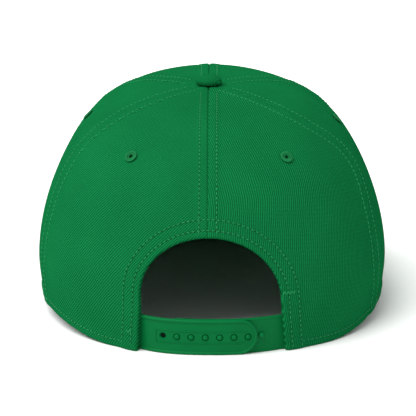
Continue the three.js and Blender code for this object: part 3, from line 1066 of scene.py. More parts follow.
        def cloth(column: int, row: int) -> Vector:
            """The place on the flat cloth."""
            share, level = grid[column][row]
            at = clamp(level) * self.map_rows
            low = min(int(at), self.map_rows - 1)
            width, length = (lerp(table[low][k], table[low + 1][k], at - low) for k in range(2))
            flat = Vector(((share - 0.5) * width, length, 0))
            return Matrix.Rotation(-math.radians(form.seams[index].grain), 3, "Z") @ flat

        name = f"crown_{form.seams[index].panel}"
        obj = shaped_grid(name, len(grid) - 1, self.rows, place, cloth, inner)
        count = len(grid) * (self.rows + 1)
        verts = [v.co.copy() for v in obj.data.vertices[:count]]
        outer = [tuple(p.vertices) for p in obj.data.polygons if max(p.vertices) < count]
        self.outer_faces.append((verts, outer))
        self.cut_eyelet(obj, index)
        return obj

    def eyelet_station(self, index: int) -> Station:
        """The bearing and level of a panel's eyelet."""
        return self.bearing(index, self.form.seams[index].eyelet, self.eyelet_level), self.eyelet_level

    def cut_eyelet(self, obj: bpy.types.Object, index: int) -> None:
        """Cuts the eyelet's hole through a panel."""
        station = self.eyelet_station(index)
        point = self.form.point(*station)
        turn = self.form.normal(*station).to_track_quat("Z", "Y").to_euler()
        deselect()
        bpy.ops.mesh.primitive_cylinder_add(
            vertices=self.eyelet_sides,
            radius=self.eyelet_radius,
            depth=self.eyelet_cut,
            location=point,
            rotation=turn,
        )
        cutter = bpy.context.object
        cutter.data.materials.append(self.twill)
        use_modifier(obj, "BOOLEAN", operation="DIFFERENCE", object=cutter, solver="EXACT")
        bpy.data.objects.remove(cutter)

    def build(self) -> BVHTree:
        """Builds and dresses all the panels.

        Returns:
            The outer faces of all the panels, for what is laid on them.
        """
        for index, seam in enumerate(self.form.seams[:6]):
            obj = self.panel(index)
            soften(obj, 40)
            dress(obj, Slot.TWILL, self.twill, self.lining)
            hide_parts(f"panel_{seam.panel}")
        verts: list[Vector] = []
        faces: list[tuple[int, ...]] = []
        for panel_verts, panel_faces in self.outer_faces:
            faces += [tuple(i + len(verts) for i in face) for face in panel_faces]
            verts += panel_verts
        return BVHTree.FromPolygons(verts, faces)


@dataclass
class Stitching:
    """Rows of sewing thread laid on the cloth.

    Attributes:
        length: The length of a stitch.
        tack_step: The width and half the height of a tack's zigzag.
        tacks: Each tack's side, start and end beyond the arch's edge, and height.
        pit_reach: How far a dark mark of painted shade for a needle hole runs under its two stitches, as a
            share of the gap.
        widest_gap: The gap between stitches from which no mark of painted shade is laid.
        lift: How far the thread's middle lies off the cloth.
        reach: How far outside the plain crown the search for the cloth starts.
        probe: How far inwards it goes.
        low_level: The level where the rows beside the seams start.
        top_level: The level where they end.
        arch_gap: How far over the arch the rows beside the back seam start.
        rim_start: How far beside the arch the rim's rows start.
        rim_overlap: How far past the visor's corner they run, in degrees.
    """

    form: CrownForm
    arch: ArchForm
    relief: ClothRelief
    surface: BVHTree
    thread: bpy.types.Material
    pit_shade: bpy.types.Material
    length: float = 1.75 * MM
    thickness: float = 0.5 * MM
    tack_step: float = 0.8 * MM
    tacks: tuple[tuple[Side, float, float, float], ...] = (
        (Side.RIGHT, 0.2 * MM, 5.8 * MM, 27.7 * MM),
        (Side.LEFT, 3.2 * MM, 5.6 * MM, 9.3 * MM),
    )
    pit_reach: float = 0.15
    widest_gap: float = 1 * MM
    lift: float = 0.12 * MM
    reach: float = 6 * MM
    probe: float = 14 * MM
    low_level: float = 0.02
    top_level: float = 0.93
    arch_gap: float = 1.5 * MM
    rim_start: float = 9 * MM
    rim_overlap: float = 2
    seam_points: int = 420
    rim_points: int = 500

    def one_stitch(self) -> tuple[list[Vector], list[tuple[int, ...]]]:
        """Models one stitch, along X with its thickness round it.

        Returns:
            The stitch's points and faces.
        """
        deselect()
        bpy.ops.mesh.primitive_uv_sphere_add(segments=6, ring_count=6, radius=0.5, rotation=(0, QUARTER, 0))
        obj = bpy.context.object
        settle(obj)
        verts = [v.co.copy() for v in obj.data.vertices]
        faces = [tuple(p.vertices) for p in obj.data.polygons]
        bpy.data.objects.remove(obj)
        return verts, faces

    def sew(self, name: str, rows: Sequence[Sequence[Stitch]]) -> None:
        """Lays rows of stitches, and dark marks of painted shade for the needle holes between them."""
        self.lay(f"stitches_{name}", sum(rows, []), self.thread)
        before, beyond = -self.pit_reach, 1 + self.pit_reach
        pit_shades = [
            (a[1].lerp(b[0], before), a[1].lerp(b[0], beyond), a[2])
            for row in rows
            for a, b in zip(row, row[1:])
            if (b[0] - a[1]).length < self.widest_gap
        ]
        self.lay(f"needle_pit_shade_{name}", pit_shades, self.pit_shade)

    def lay(self, name: str, stitches: Iterable[Stitch], material: bpy.types.Material) -> None:
        """Lays stitches as one piece.

        Args:
            name: The piece's name.
            stitches: Each stitch's two ends and the direction out of the cloth.
            material: What they are made of.
        """
        shape, shape_faces = self.one_stitch()
        verts: list[Vector] = []
        faces: list[tuple[int, ...]] = []
        for start, end, out in stitches:
            along = end - start
            size = along.length
            along.normalize()
            beside = out.cross(along).normalized()
            frame = Matrix((along * size, beside * self.thickness, out * self.thickness)).transposed()
            middle = (start + end) / 2
            faces += [tuple(i + len(verts) for i in face) for face in shape_faces]
            verts += [middle + frame @ v for v in shape]
        mesh = bpy.data.meshes.new(name)
        mesh.from_pydata(verts, [], faces)
        obj = add(name, mesh)
        soften(obj, 80)
        dress(obj, Slot.THREAD, material)

    def cut_up(self, path: Sequence[Spot]) -> list[Stitch]:
        """Divides a path into stitches with a short gap after each."""
        stitches = []
        pitch = self.relief.stitch_pitch
        travelled = 0.0
        start = path[0][0]
        for (point, _), (following, out) in zip(path, path[1:]):
            step = (following - point).length
            if travelled < self.length <= travelled + step:
                stitches.append((start, point.lerp(following, (self.length - travelled) / step), out))
            travelled += step
            if travelled >= pitch:
                travelled -= pitch
                start = following
        return stitches

    def on_cloth(self, point: Vector, out: Vector) -> Spot | None:
        """The place on the cloth under or over a point, and the direction out of it there."""
        hit = self.surface.ray_cast(point + out * self.reach, -out, self.probe)[0]
        return (hit + out * self.lift, out) if hit else None

    def seam_row(self, index: int, side: Side, start: float) -> list[Spot]:
        """A row beside a seam, from a level up to the button."""
        form = self.form
        path = []
        for k in range(self.seam_points):
            level = lerp(start, self.top_level, k / (self.seam_points - 1))
            seam = form.seam(index, level)
            step = 1e-3
            speed = (form.point(seam + step, level) - form.point(seam - step, level)).length / (2 * step)
            bearing = seam + side.value * self.relief.seam_row / speed
            path.append(self.on_cloth(form.point(bearing, level), form.normal(bearing, level)))
        return [spot for spot in path if spot]

    def rim_row(self, side: Side) -> list[Spot]:
        """The row over the rim on one side, from the arch to the visor's corner."""
        form = self.form
        start = form.bearing_across(self.arch.half_width + self.rim_start)
        end = math.radians(form.visor_corner_bearing + self.rim_overlap)
        path = []
        for k in range(self.rim_points):
            bearing = lerp(start, end, k / (self.rim_points - 1)) * side.value
            level = form.level_at_height(bearing, self.relief.rim_row)
            path.append(self.on_cloth(form.point(bearing, level), form.normal(bearing, level)))
        return [spot for spot in path if spot]

    def arch_row(self, offset: float) -> list[Spot]:
        """A row round the arch, an offset away from its edge."""
        path = []
        for x, z in self.arch.offset_row(offset):
            bearing, level = self.form.at_back(x, z)
            path.append(self.on_cloth(self.form.point(bearing, level), self.form.normal(bearing, level)))
        return self.denser([spot for spot in path if spot])

    def denser(self, path: Sequence[Spot]) -> list[Spot]:
        """A path with points added between its own."""
        fine = []
        for (point, out), (following, _) in zip(path, path[1:]):
            fine += [(point.lerp(following, k / 6), out) for k in range(6)]
        return fine

    def tack(self, side: Side, start: float, end: float, height: float) -> list[Stitch]:
        """A zigzag tack that holds the hem beside the arch.

        Args:
            side: The arch's side.
            start: Where the tack starts, beyond the arch's edge.
            end: Where it ends.
            height: How high it lies.

        Returns:
            The tack's stitches.
        """
        count = round((end - start) / self.tack_step)
        spots = []
        for k in range(count + 1):
            x = self.arch.half_width + lerp(start, end, k / count)
            z = height + self.tack_step * (1 if k % 2 else -1)
            bearing, level = self.form.at_back(x * side.value, z)
            spots.append(self.on_cloth(self.form.point(bearing, level), self.form.normal(bearing, level)))
        return [(a[0], b[0], a[1]) for a, b in zip(spots, spots[1:]) if a and b]

    def build(self) -> None:
        """Lays all the rows of the crown."""
        back_start = self.form.at_back(0, self.arch.straight + self.arch.dome + self.arch_gap)[1]
        seams = [self.seam_row(i, side, self.low_level) for i in (0, 1, 2, 4, 5) for side in Side]
        self.lay("stitches_seams", sum((self.cut_up(row) for row in seams), []), self.thread)
        self.sew("back_seam", [self.cut_up(self.seam_row(3, side, back_start)) for side in Side])
        arch_rows = [self.cut_up(self.arch_row(offset)) for offset in self.relief.arch_rows]
        self.sew("arch", arch_rows)
        self.lay("stitches_tacks", sum((self.tack(*sizes) for sizes in self.tacks), []), self.thread)
        self.sew("rim", [self.cut_up(self.rim_row(side)) for side in Side])


@dataclass
class Eyelets:
    """The stitched eyelets, one in each panel.

    Attributes:
        flatness: The ring's height as a share of a round one's.
        turns: How many turns of thread the ring has.
        groove: How deep the grooves between the turns are.
        lift: How far the ring's middle lies off the plain crown.
    """

    panels: CrownPanels
    thread: bpy.types.Material
    ring_radius: float = 2.3 * MM
    ring_thickness: float = 0.8 * MM
    flatness: float = 0.5
    turns: int = 40
    tube_length: float = 2.6 * MM
    tube_radius: float = 1.55 * MM
    tube_wall: float = 0.45 * MM
    groove: float = 0.13 * MM
    lift: float = 0.35 * MM

    def ring(self) -> bpy.types.Object:
        """Models one eyelet at the origin: a padded ring of thread turns over a tube."""
        deselect()
        bpy.ops.mesh.primitive_torus_add(
            major_radius=self.ring_radius,
            minor_radius=self.ring_thickness,
            major_segments=2 * self.turns,
            minor_segments=12,
        )
        ring = bpy.context.object
        bpy.ops.object.mode_set(mode="EDIT")
        bpy.ops.transform.resize(value=(1, 1, self.flatness), center_override=(0, 0, 0))

        def between_turns(vert: bmesh.types.BMVert) -> bool:
            """Whether a vertex lies in the groove between two turns of thread."""
            return round(math.atan2(vert.co.y, vert.co.x) / TAU * 2 * self.turns) % 2 == 0

        select_in_edit(ring, verts=between_turns)
        bpy.ops.transform.shrink_fatten(value=-self.groove)
        bpy.ops.object.mode_set(mode="OBJECT")
        deselect()
        bpy.ops.mesh.primitive_cylinder_add(
            vertices=32,
            radius=self.tube_radius,
            depth=self.tube_length,
            end_fill_type="NOTHING",
            location=(0, 0, -self.tube_length / 2),
        )
        tube = bpy.context.object
        settle(tube)
        use_modifier(tube, "SOLIDIFY", thickness=self.tube_wall, offset=-1)
        return join("eyelet", [ring, tube])

    def build(self) -> None:
        """Sets a copy of the eyelet into each panel."""
        pattern = self.ring()
        for index, seam in enumerate(self.panels.form.seams[:6]):
            bearing, level = self.panels.eyelet_station(index)
            point = self.panels.form.point(bearing, level)
            out = self.panels.form.normal(bearing, level)
            obj = twin(pattern)
            obj.name = f"thread_eyelet_{seam.panel}"
            obj.location = point + out * self.lift
            obj.rotation_euler = out.to_track_quat("Z", "Y").to_euler()
            settle(obj)
            soften(obj, 60)
            dress(obj, Slot.THREAD, self.thread)
            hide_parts(f"eyelet_{seam.panel}")
        bpy.data.objects.remove(pattern)


@dataclass
class Button:
    """The cloth covered button on top.

    Attributes:
        dome_share: How much of the height is the dome. The rest is the straight side.
        tuck: The radius where the cloth turns under, as a share of the button's.
        gap: How far the button stands off the crown.
        weave_turn: How far its twill is turned, in degrees.
        weave_scale: How much finer its twill is than the panels'.
    """

    form: CrownForm
    twill: bpy.types.Material
    radius: float = 6.4 * MM
    height: float = 5 * MM
    shank_radius: float = 2 * MM
    shank_length: float = 3.5 * MM
    dome_share: float = 0.74
    tuck: float = 0.95
    rounding: float = 0.5 * MM
    gap: float = 0.3 * MM
    weave_turn: float = 40
    weave_scale: float = 1.6

    def build(self) -> None:
        """Shapes half a sphere into the button, folds its cloth under and adds the shank."""
        deselect()
        bpy.ops.mesh.primitive_uv_sphere_add(segments=56, ring_count=28, radius=self.radius)
        obj = bpy.context.object
        obj.name = "button_cover"
        bpy.ops.object.mode_set(mode="EDIT")
        bpy.ops.mesh.select_all(action="SELECT")
        bpy.ops.mesh.bisect(plane_co=(0, 0, 0), plane_no=(0, 0, 1), clear_inner=True)
        bpy.ops.mesh.select_all(action="SELECT")
        flat = self.dome_share * self.height / self.radius
        bpy.ops.transform.resize(value=(1, 1, flat), center_override=(0, 0, 0))
        select_in_edit(obj, verts=lambda v: v.is_boundary)
        side = (1 - self.dome_share) * self.height
        bpy.ops.mesh.extrude_region_move(TRANSFORM_OT_translate={"value": (0, 0, -side)})
        bpy.ops.transform.resize(value=(self.tuck, self.tuck, 1), center_override=(0, 0, 0))
        bpy.ops.mesh.extrude_region_move()
        share = self.shank_radius / (self.tuck * self.radius)
        bpy.ops.transform.resize(value=(share, share, 1), center_override=(0, 0, 0))
        bpy.ops.mesh.extrude_region_move(TRANSFORM_OT_translate={"value": (0, 0, -self.shank_length)})
        bpy.ops.mesh.edge_face_add()
        bpy.ops.object.mode_set(mode="OBJECT")
        rounded = math.radians(40)
        use_modifier(obj, "BEVEL", width=self.rounding, segments=3, limit_method="ANGLE", angle_limit=rounded)
        seat = self.form.point(0, self.form.level_at_radius(0, self.radius)).z
        obj.location = (-self.form.lean, self.form.axis_y, seat + self.gap + side)
        settle(obj)
        layer = obj.data.uv_layers.new(name=CLOTH_UV)
        turn = Matrix.Rotation(math.radians(self.weave_turn), 2) * self.weave_scale
        for loop in obj.data.loops:
            layer.data[loop.index].uv = turn @ obj.data.vertices[loop.vertex_index].co.xy
        soften(obj, 50)
        dress(obj, Slot.TWILL, self.twill)
        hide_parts("button")


@dataclass
class Visor:
    """The flat visor: a board in twill with rows of stitching.

    Attributes:
        overhang: How far the visor stands out beyond the crown's half width.
        corner: How far its corners stand out beyond the rim.
        shoulder: How far behind the crown's front the straight sides end.
        squareness: The power of the front edge's curve: 2 is an ellipse.
        bend: The share of each half of the edge that is in front of the shoulder.
        clear_of_crown: How far out on plan the stitch rows start, where 1 is the crown's rim.
        row_insets: The distances of the stitch rows from the edge.
    """

    form: CrownForm
    twill: bpy.types.Material
    stitching: Stitching
    length: float = 70 * MM
    overhang: float = 5.5 * MM
    thickness: float = 3 * MM
    corner: float = 2.4 * MM
    shoulder: float = 21 * MM
    squareness: float = 2.4
    bend: float = 0.8
    columns: int = 150
    top_rows: int = 34
    edge_rows: int = 8
    row_points: int = 500
    clear_of_crown: float = 1.03
    lift: float = 0.1 * MM
    row_insets: tuple[float, ...] = (5 * MM, 12 * MM, 19 * MM, 26 * MM, 33 * MM, 40 * MM)

    def edge(self, across: float) -> Vector:
        """The outer edge on plan, from the left corner at -1 to the right one at 1."""
        form = self.form
        x, y = form.plan(math.radians(form.visor_corner_bearing))
        corner_y = y * form.front_reach
        half_width = form.half_width + self.overhang
        shoulder_y = form.front_reach - self.shoulder
        share = abs(across)
        sign = math.copysign(1, across)
        if share > self.bend:
            t = (share - self.bend) / (1 - self.bend)
            start = Vector((half_width, shoulder_y))
            middle = Vector((half_width, lerp(corner_y, shoulder_y, 0.45)))
            end = Vector((x * form.half_width + self.corner, corner_y))
            p = start.lerp(middle, t).lerp(middle.lerp(end, t), t)
            return Vector((sign * p.x, p.y))
        s = math.sin(share / self.bend * QUARTER)
        c = math.cos(share / self.bend * QUARTER)
        size = (s**self.squareness + c**self.squareness) ** (-1 / self.squareness)
        return Vector((sign * half_width * s * size, shoulder_y + (self.shoulder + self.length) * c * size))

    def root(self, across: float) -> Vector:
        """The inner edge on plan, under the crown's wall."""
        bearing = math.radians(across * self.form.visor_corner_bearing)
        point = self.form.under(bearing, 0, self.form.cloth)
        return Vector((point.x, point.y - self.form.axis_y))

    def place(self, plan: Vector, depth: float) -> Vector:
        """A point a depth below the top face at a place on plan."""
        return Vector((plan.x, plan.y + self.form.axis_y, self.form.visor_top(plan.x, plan.y) - depth))

    def board(self) -> bpy.types.Object:
        """Builds the board: its top, round edge and underside are one wrapped sheet."""
        round_off = self.thickness / 2
        last = 2 * self.top_rows + self.edge_rows

        def place(column: int, row: int) -> Vector:
            """The cloth from the top's root round the edge to the underside's root."""
            across = 2 * column / self.columns - 1
            root = self.root(across)
            edge = self.edge(across)
            outwards = (edge - root).normalized()
            turn = edge - outwards * round_off
            if row <= self.top_rows:
                return self.place(root.lerp(turn, row / self.top_rows), 0)
            if row >= last - self.top_rows:
                return self.place(root.lerp(turn, (last - row) / self.top_rows), self.thickness)
            angle = math.pi * (row - self.top_rows) / self.edge_rows
            plan = turn + outwards * round_off * math.sin(angle)
            return self.place(plan, round_off * (1 - math.cos(angle)))

        def cloth(column: int, row: int) -> Vector:
            """The flat cloth, laid straight over the board."""
            point = place(column, row)
            return Vector((point.x, point.y, 0))

        obj = shaped_grid("visor_cloth", self.columns, last, place, cloth)
        pick(obj)
        bpy.ops.object.mode_set(mode="EDIT")
        bpy.ops.mesh.select_mode(type="EDGE")
        bpy.ops.mesh.select_all(action="SELECT")
        bpy.ops.mesh.region_to_loop()
        bpy.ops.mesh.edge_face_add()
        bpy.ops.mesh.quads_convert_to_tris()
        bpy.ops.mesh.select_all(action="SELECT")
        bpy.ops.mesh.normals_make_consistent(inside=False)
        bpy.ops.object.mode_set(mode="OBJECT")
        return obj

    def row(self, inset: float, depth: float) -> list[Spot]:
        """A stitch row along the edge, on the top or the underside."""
        path = []
        out = Vector((0, 0, 1 if depth == 0 else -1))
        for k in range(1, self.row_points):
            across = 2 * k / self.row_points - 1
            tangent = (self.edge(across + 1e-3) - self.edge(across - 1e-3)).normalized()
            plan = self.edge(across) + Vector((tangent.y, -tangent.x)) * inset
            reach = abs(plan.x / self.form.half_width) ** self.form.roundness
            reach += abs(plan.y / self.form.front_reach) ** self.form.roundness
            if reach > self.clear_of_crown and plan.y > 0:
                path.append((self.place(plan, depth) + out * self.lift, out))
        return path

    def build(self) -> None:
        """Builds the visor and sews its rows."""
        obj = self.board()
        soften(obj, 40)
        dress(obj, Slot.TWILL, self.twill)
        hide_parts("visor")
        depths = (0, self.thickness)
        rows = [self.row(inset, depth) for inset in self.row_insets for depth in depths]
        self.stitching.sew("visor", [self.stitching.cut_up(row) for row in rows])


@dataclass
class Sweatband:
    """The band inside the rim, from one side of the arch to the other.

    Attributes:
        inset: How far beside the arch's edge the band ends.
        outer_layer: How deep it lies under the crown's outer face.
        inner_layer: How deep its ends lie, inside the strap's.
        tuck: How far from its ends the band starts to come out to the wall.
    """

    form: CrownForm
    arch: ArchForm
    cloth: bpy.types.Material
    height: float = 30 * MM
    thickness: float = 1.2 * MM
    inset: float = 1 * MM
    outer_layer: float = 2.3 * MM
    inner_layer: float = 3.6 * MM
    tuck: float = 12 * MM
    rounding: float = 0.35 * MM
    columns: int = 220
    rows: int = 16

    def build(self) -> None:
        """Builds the band."""
        form = self.form
        end = form.bearing_across(self.arch.half_width + self.inset)
        lengths = end * form.back_reach

        def place(column: int, row: int) -> Vector:
            """The band's outer face."""
            bearing = lerp(-end, end, column / self.columns)
            past_end = (end - abs(bearing)) * form.back_reach
            layer = lerp(self.inner_layer, self.outer_layer, smooth(past_end, self.tuck, 3 * self.tuck))
            level = form.level_at_height(bearing, self.height * row / self.rows)
            return form.under(bearing, level, layer)

        def cloth(column: int, row: int) -> Vector:
            """The place along and up the band."""
            return Vector((lengths * column / self.columns, self.height * row / self.rows, 0))

        obj = shaped_grid("sweatband_cloth", self.columns, self.rows, place, cloth)
        use_modifier(obj, "SOLIDIFY", thickness=self.thickness, offset=-1)
        rounded = math.radians(50)
        use_modifier(obj, "BEVEL", width=self.rounding, segments=2, limit_method="ANGLE", angle_limit=rounded)
        soften(obj, 40)
        dress(obj, Slot.BAND, self.cloth)
        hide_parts("sweatband")


@dataclass
class SnapStrap:
    """The two halves of the moulded snap strap, modelled flat and then wrapped on the crown.

    While a half is flat, X is the distance to the wearer's right, Z the height over the rim and
    -Y the distance out of the strap.

    Attributes:
        bow: How far the strap bows out of the crown in the arch's middle.
        root: How far beside the middle each half starts.
        left_tip: Where the outer half's tip ends, to the wearer's right.
        outer_layer: How deep the outer half's face lies under the crown's outer face.
        outer_bead: The outer half's bead as steps inwards and outwards, in millimetres.
        channel_inset: How far inside the edge the thin line runs that frames the holes.
        channel_start: Where that line starts, square.
        first_peg: The place of the peg nearest to the wearer's right.
        hole_waist: The radius of a hole behind its countersink.
        sink_start: How deep a hole starts to narrow, in thicknesses.
        sink_end: How deep it stops narrowing.
        sink_edge: The depth past which the cutter's points are drawn in.
        head_radius: The radius of a peg's head, which stands from head_low to head_high.
        shade_disc_margin: How much wider than the hole the dark disc of painted shade behind the last hole
            is.
        bend_step: The distance between the cuts that let a half bend.
    """

    form: CrownForm
    arch: ArchForm
    plastic: bpy.types.Material
    shaded: bpy.types.Material
    height: float = 17 * MM
    thickness: float = 1 * MM
    bow: float = 3.4 * MM
    bow_power: float = 3.5
    root: float = 44.1 * MM
    left_tip: float = 21.15 * MM
    right_tip: float = -20.9 * MM
    right_rounding: float = 5.3 * MM
    outer_layer: float = 2.3 * MM
    inner_layer: float = 3.6 * MM
    outer_bead: Profile = ((0.22, 0.34), (0.32, 0.2), (0.34, 0.06), (0.34, -0.16), (0.28, -0.44))
    inner_bead: Profile = ((0.2, 0.2), (0.4, 0.05), (0.25, -0.25))
    channel_line: Profile = ((0.12, 0.22), (0.28, 0.03), (0.12, -0.3))
    channel_inset: float = 5.3 * MM
    channel_start: float = -25.6 * MM
    channel_shift: float = 2 * MM
    snap_count: int = 7
    snap_pitch: float = 6.45 * MM
    first_peg: float = 23.2 * MM
    hole_radius: float = 1.7 * MM
    hole_waist: float = 1.25 * MM
    sink_start: float = 0.15
    sink_end: float = 0.7
    sink_edge: float = 0.6
    peg_radius: float = 1 * MM
    head_radius: float = 1.36 * MM
    head_low: float = 0.4 * MM
    head_high: float = 1.9 * MM
    head_rounding: float = 0.85
    peg_start: float = -0.4
    peg_overlap: float = 0.1 * MM
    shade_disc_margin: float = 0.2 * MM
    shade_disc_start: float = -1.4
    shade_disc_end: float = -0.98
    smooth_below: float = 42
    tip_points: int = 56
    bend_step: float = 1.6 * MM

    def plate(self, name: str, root: float, tip: float, rounding: float, bead: Profile) -> bpy.types.Object:
        """Shapes a short cylinder into a flat plate with a round tip, a square root and a raised bead.

        Args:
            name: The piece's name.
            root: Where the plate starts, as a distance to the wearer's right.
            tip: Where its round tip ends.
            rounding: How long the round tip is.
            bead: The bead round its edge, as steps inwards and outwards in millimetres.

        Returns:
            The plate, in edit mode, with the floor inside the bead selected.
        """
        half = self.height / 2
        sign = math.copysign(1, tip - root)
        centre = tip - sign * rounding
        deselect()
        bpy.ops.mesh.primitive_cylinder_add(
            vertices=self.tip_points,
            radius=half,
            depth=self.thickness,
            location=(centre, self.thickness / 2, half),
            rotation=(QUARTER, 0, 0),
        )
        obj = bpy.context.object
        obj.name = name
        obj.scale.x = rounding / half
        settle(obj)
        bpy.ops.object.mode_set(mode="EDIT")
        bpy.ops.mesh.select_all(action="SELECT")
        bpy.ops.mesh.bisect(
            plane_co=(centre, 0, half),
            plane_no=(sign, 0, 0),
            use_fill=True,
            clear_inner=True,
            threshold=0.01 * MM,
        )
        select_in_edit(obj, faces=lambda f: f.normal.x * sign < -0.99)
        bpy.ops.mesh.extrude_region_move(TRANSFORM_OT_translate={"value": (root - centre, 0, 0)})
        select_in_edit(obj, faces=lambda f: f.normal.y < -0.9)
        self.step_in(bead)
        return obj

    def step_in(self, profile: Profile) -> None:
        """Insets the selected face again and again, along a profile."""
        for inwards, outwards in profile:
            bpy.ops.mesh.inset(thickness=inwards * MM, depth=outwards * MM)

    def bend_cuts(self, obj: bpy.types.Object) -> None:
        """Cuts a flat plate across at even steps, so that it can bend."""
        pick(obj)
        bpy.ops.object.mode_set(mode="EDIT")
        for k in range(round(2 * self.root / self.bend_step) + 1):
            bpy.ops.mesh.select_all(action="SELECT")
            bpy.ops.mesh.bisect(plane_co=(k * self.bend_step - self.root, 0, 0), plane_no=(1, 0, 0))
        bpy.ops.object.mode_set(mode="OBJECT")

    def layer(self, side: Side, across: float) -> float:
        """How deep a strap's face lies under the crown's outer face."""
        if side is Side.LEFT:
            return self.outer_layer
        eases = smooth(across, self.first_peg, self.arch.half_width + 3 * MM)
        return lerp(self.inner_layer, self.outer_layer, eases)

    def wrap(self, obj: bpy.types.Object, side: Side) -> None:
        """Wraps a flat half round the back of the crown."""
        form = self.form
        places: dict[tuple[int, int], Spot] = {}
        for vertex in obj.data.vertices:
            across, outward, height = vertex.co
            key = (round(across * 1e6), round(height * 1e6))
            if key not in places:
                bearing = form.bearing_across(across)
                level = form.level_at_height(bearing, height)
                bow = self.bow * max(0.0, 1 - abs(across / self.arch.half_width) ** self.bow_power)
                depth = self.layer(side, across) - bow
                face = form.under(bearing, level, depth)
                places[key] = (face, face - form.under(bearing, level, depth + MM))
            face, out = places[key]
            vertex.co = face - out * (outward / MM)
        obj.data.update()

    def post(self, radius: float, low: float, high: float, rounding: float = 0) -> bpy.types.Object:
        """Adds a round post that stands out of a flat strap.

        Args:
            radius: The post's radius.
            low: Where it starts, out of the strap's face.
            high: Where it ends.
            rounding: How far its outer end is rounded off.

        Returns:
            The post, at the first peg's place.
        """
        deselect()
        bpy.ops.mesh.primitive_cylinder_add(
            vertices=28,
            radius=radius,
            depth=high - low,
            location=(self.first_peg, -(low + high) / 2, self.height / 2),
            rotation=(QUARTER, 0, 0),
        )
        post = bpy.context.object
        settle(post)
        if rounding:
            bpy.ops.object.mode_set(mode="EDIT")
            select_in_edit(post, faces=lambda f: f.normal.y < -0.9)
            bpy.ops.mesh.bevel(offset=rounding, segments=6)
            bpy.ops.object.mode_set(mode="OBJECT")
        return post

    def in_a_row(self, pattern: bpy.types.Object, first: float) -> list[bpy.types.Object]:
        """Copies a snap part along the strap, from a first place towards the wearer's left."""
        copies = []
        for k in range(self.snap_count):
            obj = twin(pattern)
            obj.location.x = first - k * self.snap_pitch - self.first_peg
            settle(obj)
            copies.append(obj)
        bpy.data.objects.remove(pattern)
        return copies

    def countersink(self) -> bpy.types.Object:
        """Adds the cutter of one hole: wide at the strap's face and narrow behind it."""
        cutter = self.post(self.hole_radius, -2 * self.thickness, 2 * self.thickness)
        bpy.ops.object.mode_set(mode="EDIT")
        for depth in (self.sink_start * self.thickness, self.sink_end * self.thickness):
            bpy.ops.mesh.select_all(action="SELECT")
            bpy.ops.mesh.bisect(plane_co=(0, depth, 0), plane_no=(0, 1, 0))
        select_in_edit(cutter, verts=lambda v: v.co.y > self.sink_edge * self.thickness)
        share = self.hole_waist / self.hole_radius
        centre = (self.first_peg, 0, self.height / 2)
        bpy.ops.transform.resize(value=(share, 1, share), center_override=centre)
        bpy.ops.object.mode_set(mode="OBJECT")
        return cutter

    def channel(self, obj: bpy.types.Object) -> None:
        """Raises the thin line that frames the holes, square at its start and round at its end."""
        bead_width = sum(step for step, _ in self.outer_bead) * MM
        bpy.ops.mesh.inset(thickness=self.channel_inset - bead_width, depth=0)
        mesh = bmesh.from_edit_mesh(obj.data)
        left = min(v.co.x for v in mesh.verts if v.select)
        for vert in mesh.verts:
            if vert.select:
                starts = vert.co.x < left + 0.01 * MM
                vert.co.x = self.channel_start if starts else vert.co.x + self.channel_shift
        bmesh.update_edit_mesh(obj.data)
        self.step_in(self.channel_line)

    def left_half(self) -> None:
        """Builds the outer half with its holes."""
        obj = self.plate("strap_outer", -self.root, self.left_tip, self.height / 2, self.outer_bead)
        self.channel(obj)
        bpy.ops.object.mode_set(mode="OBJECT")
        cutter = join("holes", self.in_a_row(self.countersink(), self.first_peg - self.snap_pitch))
        use_modifier(obj, "BOOLEAN", operation="DIFFERENCE", object=cutter, solver="EXACT")
        bpy.data.objects.remove(cutter)
        self.finish(obj, Side.LEFT)

    def right_half(self) -> None:
        """Builds the inner half with its pegs."""
        obj = self.plate("strap_inner", self.root, self.right_tip, self.right_rounding, self.inner_bead)
        bpy.ops.object.mode_set(mode="OBJECT")
        rounding = self.head_rounding * (self.head_high - self.head_low)
        head = self.post(self.head_radius, self.head_low, self.head_high, rounding)
        start = self.peg_start * self.thickness
        shaft = self.post(self.peg_radius, start, self.head_low + self.peg_overlap)
        self.bend_cuts(obj)
        obj = join("strap_inner", [obj, *self.in_a_row(join("snap", [head, shaft]), self.first_peg)])
        self.finish(obj, Side.RIGHT)

    def finish(self, obj: bpy.types.Object, side: Side) -> None:
        """Bends a half, wraps it on the crown and dresses it."""
        if side is Side.LEFT:
            self.bend_cuts(obj)
        self.wrap(obj, side)
        soften(obj, self.smooth_below)
        dress(obj, Slot.PLASTIC, self.plastic)
        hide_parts(f"strap_{side.name.lower()}")

    def last_hole(self) -> None:
        """Closes the hole past the pegs with a thin dark disc behind it, painted shade for the hole's dark
        core.
        """
        start, end = self.shade_disc_start * self.thickness, self.shade_disc_end * self.thickness
        shade_disc = self.post(self.hole_waist + self.shade_disc_margin, start, end)
        shade_disc.name = "last_hole_painted_shade"
        shade_disc.location.x = -self.snap_count * self.snap_pitch
        settle(shade_disc)
        self.wrap(shade_disc, Side.LEFT)
        soften(shade_disc, self.smooth_below)
        dress(shade_disc, Slot.PLASTIC, self.shaded)

    def build(self) -> None:
        """Builds both halves."""
        self.left_half()
        self.right_half()
        self.last_hole()


@dataclass(frozen=True)
class SoftBox:
    """A large soft studio light."""

    name: str
    place: tuple[float, float, float]
    size: float
    power: float
    colour: tuple[float, float, float] = (1, 1, 1)

    def build(self, target: Vector) -> None:
        """Hangs the light and aims it."""
        light = bpy.data.lights.new(self.name, "AREA")
        light.size = self.size
        light.energy = self.power
        light.color = self.colour
        obj = add(self.name, light)
        obj.location = self.place
        obj.rotation_euler = (target - obj.location).to_track_quat("-Z", "Y").to_euler()


